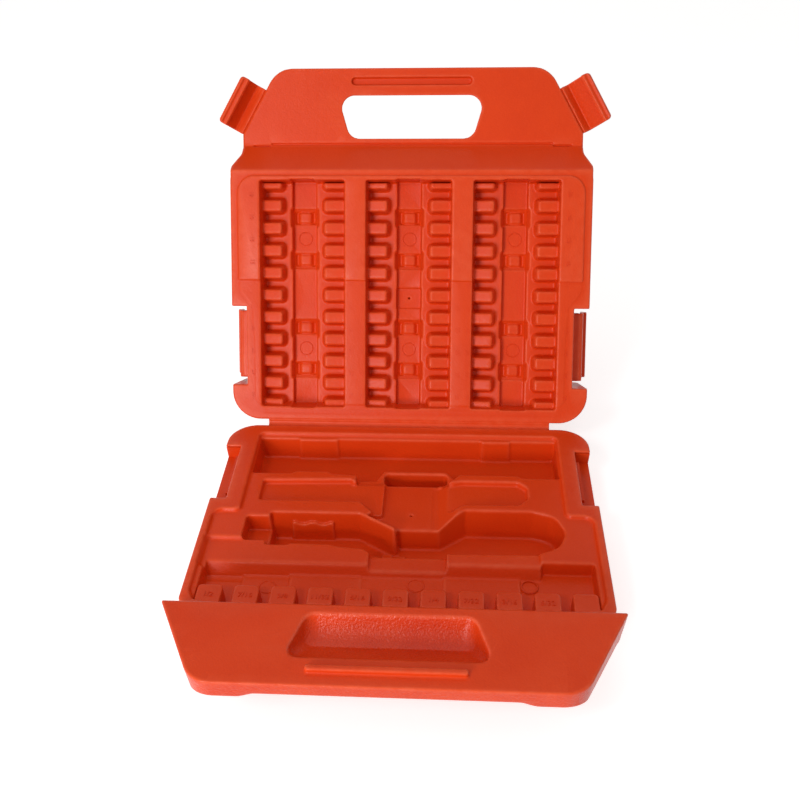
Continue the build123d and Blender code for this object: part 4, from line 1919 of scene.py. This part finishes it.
class NodeGroup:
    """A shader node group under construction, with its named inputs and outputs."""

    def __init__(self, name: str, inputs: dict[str, str], outputs: dict[str, str]) -> None:
        """Make the group's sockets.

        Args:
            name: name of the group.
            inputs: kind of each input, by name.
            outputs: kind of each output, by name.
        """
        self.tree = bpy.data.node_groups.new(name, "ShaderNodeTree")
        for direction, sockets in (("INPUT", inputs), ("OUTPUT", outputs)):
            for label, kind in sockets.items():
                self.tree.interface.new_socket(label, in_out=direction, socket_type=kind)
        self.entry = self.tree.nodes.new("NodeGroupInput")
        self.exit = self.tree.nodes.new("NodeGroupOutput")

    def node(self, kind: str, settings: dict[str, object] | None = None) -> bpy.types.Node:
        """Add a node.

        Args:
            kind: the node's type.
            settings: values of the node's own settings, by name.

        Returns:
            The new node.
        """
        made = self.tree.nodes.new(kind)
        for key, value in (settings or {}).items():
            setattr(made, key, value)
        return made

    def feed(self, value: object, target: bpy.types.NodeSocket) -> None:
        """Feed a socket.

        Args:
            value: another node's output, or a plain value.
            target: the socket that gets it.
        """
        if isinstance(value, bpy.types.NodeSocket):
            self.tree.links.new(value, target)
        else:
            target.default_value = value

    def math(self, operation: str, first: object, second: object) -> bpy.types.NodeSocket:
        """Add a Math node.

        Args:
            operation: what it works out.
            first: its first value, or an output that gives it.
            second: its second value, or an output that gives it.

        Returns:
            The output with the result.
        """
        made = self.node("ShaderNodeMath", {"operation": operation})
        for value, slot in zip((first, second), made.inputs):
            self.feed(value, slot)
        return made.outputs[0]

    def noise(self, scale: object, detail: float) -> bpy.types.NodeSocket:
        """Add noise that stays with the piece.

        Args:
            scale: how many waves of it fit in a metre, or an output that gives that.
            detail: how many finer layers it has.

        Returns:
            The output with the noise.
        """
        where = self.node("ShaderNodeTexCoord")
        made = self.node("ShaderNodeTexNoise")
        self.feed(where.outputs["Object"], made.inputs["Vector"])
        self.feed(scale, made.inputs["Scale"])
        self.feed(detail, made.inputs["Detail"])
        return made.outputs["Fac"]

    def blend(self, share: bpy.types.NodeSocket, first: object, second: object) -> bpy.types.NodeSocket:
        """Mix two colours.

        Args:
            share: an output that gives the second colour's share.
            first: the first colour.
            second: the second colour.

        Returns:
            The output with the mixed colour.
        """
        made = self.node("ShaderNodeMix", {"data_type": "RGBA"})
        for value, slot in ((share, MIX_SHARE), (first, MIX_FIRST), (second, MIX_SECOND)):
            self.feed(value, made.inputs[slot])
        return made.outputs[MIX_RESULT]


@dataclass(frozen=True)
class MouldedTone:
    """The plastic's colour, with soft mottling and specks, and outer edges lightened both as scuffs and as
    a painted highlight of their glossy rims.

    Scales are in waves for each metre.
    """

    cloud_scale: float = 28.0
    cloud_detail: float = 3.0
    cloud_share: float = 0.6
    speck_scale: float = 950.0
    speck_detail: float = 2.0
    speck_share: float = 0.4
    mottle_start: float = 0.4
    mottle_gain: float = 4.0
    patch_scale: float = 160.0
    patch_detail: float = 4.0
    patch_gain: float = 1.2
    patch_shift: float = -0.1
    unevenness: float = 0.12
    polish: float = 0.1

    def group(self) -> bpy.types.NodeTree:
        """Make the node group.

        Returns:
            The group, which puts out Colour and Roughness.
        """
        colour = "NodeSocketColor"
        number = "NodeSocketFloat"
        group = NodeGroup(
            "moulded_tone",
            {
                "Colour": colour, "Deep Colour": colour, "Scuffed Colour": colour,
                "Roughness": number, "Mottle": number, "Scuff": number,
            },
            {"Colour": colour, "Roughness": number},
        )
        inputs = group.entry.outputs
        cloud = group.noise(self.cloud_scale, self.cloud_detail)
        speck = group.noise(self.speck_scale, self.speck_detail)
        both = group.math(
            "ADD",
            group.math("MULTIPLY", cloud, self.cloud_share),
            group.math("MULTIPLY", speck, self.speck_share),
        )
        spread = group.math("MULTIPLY", group.math("SUBTRACT", both, self.mottle_start), self.mottle_gain)
        share = group.math("MULTIPLY", spread, inputs["Mottle"])
        clamped = group.math("MINIMUM", group.math("MAXIMUM", share, 0.0), 1.0)
        toned = group.blend(clamped, inputs["Colour"], inputs["Deep Colour"])
        # Outer edges take the lighter colour in patches. This is partly real scuffing and partly a painted
        # highlight that stands in for the gloss on their rounded rims.
        edge = group.node("ShaderNodeAttribute", {"attribute_name": EDGE_MASK})
        patches = group.math("MULTIPLY", group.noise(self.patch_scale, self.patch_detail), self.patch_gain)
        patchy = group.math("ADD", patches, self.patch_shift)
        edge_wear_and_highlight = group.math("MULTIPLY", edge.outputs["Fac"], patchy)
        scuff = group.math("MULTIPLY", edge_wear_and_highlight, inputs["Scuff"])
        group.feed(group.blend(scuff, toned, inputs["Scuffed Colour"]), group.exit.inputs["Colour"])
        uneven = group.math("MULTIPLY", group.math("SUBTRACT", cloud, 0.5), self.unevenness)
        rough = group.math("ADD", inputs["Roughness"], uneven)
        polished = group.math("SUBTRACT", rough, group.math("MULTIPLY", scuff, self.polish))
        group.feed(polished, group.exit.inputs["Roughness"])
        return group.tree


@dataclass(frozen=True)
class MouldedGrain:
    """Height of the mould's etched grain, fine grains over coarser ones."""

    fine_detail: float = 2.0
    coarse_scale: float = 0.35
    coarse_detail: float = 1.0

    def group(self) -> bpy.types.NodeTree:
        """Make the node group.

        Returns:
            The group, which puts out Height.
        """
        number = "NodeSocketFloat"
        group = NodeGroup(
            "moulded_grain", {"Grains per Metre": number, "Coarse Share": number}, {"Height": number}
        )
        inputs = group.entry.outputs
        fine = group.noise(inputs["Grains per Metre"], self.fine_detail)
        coarser = group.math("MULTIPLY", inputs["Grains per Metre"], self.coarse_scale)
        coarse = group.noise(coarser, self.coarse_detail)
        height = group.math("ADD", fine, group.math("MULTIPLY", coarse, inputs["Coarse Share"]))
        group.feed(height, group.exit.inputs["Height"])
        return group.tree


@dataclass(frozen=True)
class Polyethylene:
    """Red-orange moulded polyethylene, with the grain that its mould gives it.

    The grain's height is in metres.
    """

    name: str
    roughness: float = 0.34
    gloss: float = 0.17
    grains: float = 850.0
    coarse_share: float = 0.4
    grain_depth: float = 0.26
    grain_height: float = 0.0005
    mottle: float = 0.45
    # Strength of the lighter outer edges, which show wear together with a painted highlight.
    scuff: float = 0.8
    colour: Place = (0.70, 0.050, 0.005)
    deep_colour: Place = (0.62, 0.034, 0.003)
    # Colour of the lighter outer edges: worn plastic, and also a painted highlight of their glossy rims.
    scuffed_colour: Place = (0.80, 0.12, 0.045)

    def material(self, tone: bpy.types.NodeTree, grain: bpy.types.NodeTree) -> bpy.types.Material:
        """Make the material.

        Args:
            tone: the group that gives colour and roughness.
            grain: the group that gives the grain's height.

        Returns:
            The finished material.
        """
        made = bpy.data.materials.new(self.name)
        made.use_nodes = True
        nodes = made.node_tree.nodes
        links = made.node_tree.links
        shader = nodes["Principled BSDF"]
        shader.inputs["Specular IOR Level"].default_value = self.gloss
        colours = nodes.new("ShaderNodeGroup")
        colours.node_tree = tone
        for label, value in (
            ("Colour", (*self.colour, 1)), ("Deep Colour", (*self.deep_colour, 1)),
            ("Scuffed Colour", (*self.scuffed_colour, 1)), ("Roughness", self.roughness),
            ("Mottle", self.mottle), ("Scuff", self.scuff),
        ):
            colours.inputs[label].default_value = value
        links.new(colours.outputs["Colour"], shader.inputs["Base Color"])
        links.new(colours.outputs["Roughness"], shader.inputs["Roughness"])
        grains = nodes.new("ShaderNodeGroup")
        grains.node_tree = grain
        grains.inputs["Grains per Metre"].default_value = self.grains
        grains.inputs["Coarse Share"].default_value = self.coarse_share
        bump = nodes.new("ShaderNodeBump")
        bump.inputs["Strength"].default_value = self.grain_depth
        bump.inputs["Distance"].default_value = self.grain_height
        links.new(grains.outputs["Height"], bump.inputs["Height"])
        links.new(bump.outputs["Normal"], shader.inputs["Normal"])
        return made


SATIN = Polyethylene("satin_polyethylene")
COARSE = Polyethylene(
    "coarse_polyethylene", gloss=0.3, grains=760.0, coarse_share=0.3, grain_depth=0.75, mottle=1.3,
    scuff=0.9,
)


@dataclass(frozen=True)
class Lamp:
    """A soft square lamp, in metres and watts."""

    name: str
    place: Place
    size: float
    power: float

    def build(self, aim: Place) -> None:
        """Hang the lamp.

        Args:
            aim: the point that it faces.
        """
        data = bpy.data.lights.new(self.name, "AREA")
        data.size = self.size
        data.energy = self.power
        lamp = bpy.data.objects.new(self.name, data)
        direction = Vector(aim) - Vector(self.place)
        lamp.location = self.place
        lamp.rotation_euler = direction.to_track_quat("-Z", "Y").to_euler()
        bpy.context.scene.collection.objects.link(lamp)


@dataclass
class Studio:
    """Camera, lamps, surround and floor, in metres, degrees and watts."""

    camera_place: Place = (0.03174, -0.50410, 0.46339)
    yaw: float = -4.584
    pitch: float = 33.536
    roll: float = -1.773
    lens: float = 46.0
    sensor: float = 36.0
    shift: Point = (0.0196, -0.0248)
    floor_half: float = 6.0
    floor_drop: float = 0.0002
    floor_colour: tuple[float, ...] = (0.8, 0.8, 0.8, 1.0)
    floor_roughness: float = 0.9
    floor_gloss: float = 0.1
    floor_glow: float = 0.62
    surround: float = 0.44
    surround_colour: tuple[float, ...] = (1.0, 0.98, 0.96, 1.0)
    aim: Place = (0.0, 0.05, 0.08)
    lamps: tuple[Lamp, ...] = (
        Lamp("key", (-0.52, -1.12, 0.34), size=0.4, power=8.5),
        Lamp("top", (-0.1, 0.1, 1.1), size=0.8, power=1.2),
        Lamp("gleam", (-0.46, -0.82, 0.90), size=0.2, power=2.4),
    )

    def camera(self) -> None:
        """Set the camera that matches the photograph's view."""
        yaw, pitch, roll = (math.radians(a) for a in (self.yaw, self.pitch, self.roll))
        forward = Vector(
            (math.sin(yaw) * math.cos(pitch), math.cos(yaw) * math.cos(pitch), -math.sin(pitch))
        )
        right = Vector((math.cos(yaw), -math.sin(yaw), 0.0))
        up = right.cross(forward)
        turned_right = right * math.cos(roll) + up * math.sin(roll)
        turned_up = up * math.cos(roll) - right * math.sin(roll)
        data = bpy.data.cameras.new("camera")
        data.lens = self.lens
        data.sensor_width = self.sensor
        data.shift_x, data.shift_y = self.shift
        camera = bpy.data.objects.new("camera", data)
        basis = Matrix((turned_right, turned_up, -forward)).transposed().to_4x4()
        camera.matrix_world = Matrix.Translation(self.camera_place) @ basis
        bpy.context.scene.collection.objects.link(camera)
        bpy.context.scene.camera = camera

    def background_rays(self, nodes: bpy.types.Nodes, links: bpy.types.NodeLinks) -> bpy.types.NodeSocket:
        """Tell the rays that find the white background: seen, mirrored or passed through.

        Args:
            nodes: the nodes of the material or the world.
            links: the links between them.

        Returns:
            An output that is 1 for those rays and 0 for the others.
        """
        path = nodes.new("ShaderNodeLightPath")
        found = path.outputs["Is Camera Ray"]
        for label in ("Is Glossy Ray", "Is Transmission Ray"):
            either_ray = nodes.new("ShaderNodeMath")
            either_ray.operation = "MAXIMUM"
            links.new(found, either_ray.inputs[0])
            links.new(path.outputs[label], either_ray.inputs[1])
            found = either_ray.outputs["Value"]
        return found

    def floor_material(self) -> bpy.types.Material:
        """Make the floor's finish, which glows a little for the camera.

        Returns:
            The material.
        """
        material = bpy.data.materials.new("floor")
        material.use_nodes = True
        nodes = material.node_tree.nodes
        links = material.node_tree.links
        shader = nodes["Principled BSDF"]
        shader.inputs["Base Color"].default_value = self.floor_colour
        shader.inputs["Roughness"].default_value = self.floor_roughness
        shader.inputs["Specular IOR Level"].default_value = self.floor_gloss
        glow = nodes.new("ShaderNodeEmission")
        strength = nodes.new("ShaderNodeMath")
        strength.operation = "MULTIPLY"
        strength.inputs[1].default_value = self.floor_glow
        links.new(self.background_rays(nodes, links), strength.inputs[0])
        links.new(strength.outputs["Value"], glow.inputs["Strength"])
        both = nodes.new("ShaderNodeAddShader")
        links.new(shader.outputs["BSDF"], both.inputs[0])
        links.new(glow.outputs["Emission"], both.inputs[1])
        links.new(both.outputs["Shader"], nodes["Material Output"].inputs["Surface"])
        return material

    def floor(self) -> None:
        """Lay the pale floor, which the camera sees as nearly white."""
        half = self.floor_half
        corners = [(x, y, 0.0) for x, y in rectangle(-half, half, -half, half)]
        floor = mesh_object("floor", corners, [[0, 1, 2, 3]])
        floor.location.z = -self.floor_drop
        floor.data.materials.append(self.floor_material())

    def world(self) -> None:
        """Put up a pale surround that lights the case softly and is white to the camera."""
        world = bpy.data.worlds.new("surround")
        world.use_nodes = True
        nodes = world.node_tree.nodes
        links = world.node_tree.links
        seen = nodes["Background"]
        seen.inputs["Color"].default_value = (1.0, 1.0, 1.0, 1.0)
        seen.inputs["Strength"].default_value = 1.0
        light = nodes.new("ShaderNodeBackground")
        light.inputs["Color"].default_value = self.surround_colour
        light.inputs["Strength"].default_value = self.surround
        choice = nodes.new("ShaderNodeMixShader")
        links.new(self.background_rays(nodes, links), choice.inputs["Fac"])
        links.new(light.outputs["Background"], choice.inputs[1])
        links.new(seen.outputs["Background"], choice.inputs[2])
        links.new(choice.outputs["Shader"], nodes["World Output"].inputs["Surface"])
        bpy.context.scene.world = world

    def build(self) -> None:
        """Set up the whole studio."""
        self.camera()
        self.world()
        self.floor()
        for lamp in self.lamps:
            lamp.build(self.aim)
        bpy.context.scene.view_settings.view_transform = "Standard"


def dress_frame(frame: dict, material: bpy.types.Material) -> None:
    """Give every CAD node the case's finish.

    Args:
        material: the finish.
    """
    for node in frame["nodes"].values():
        node.data.materials.clear()
        node.data.materials.append(material)


def main() -> None:
    """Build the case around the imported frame."""
    logging.basicConfig(level=logging.INFO, format="%(message)s")
    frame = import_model()
    Studio().build()
    tone = MouldedTone().group()
    grain = MouldedGrain().group()
    satin = SATIN.material(tone, grain)
    coarse = COARSE.material(tone, grain)
    dress_frame(frame, satin)
    BaseTray().build(satin)
    DrillTabs().build(satin)
    BaseHandle().build(satin, coarse)
    LidMoulding().build(satin)
    HingeWeb().build(satin)
    for flap in FLAPS:
        flap.build(satin)


if __name__ == "__main__":
    main()
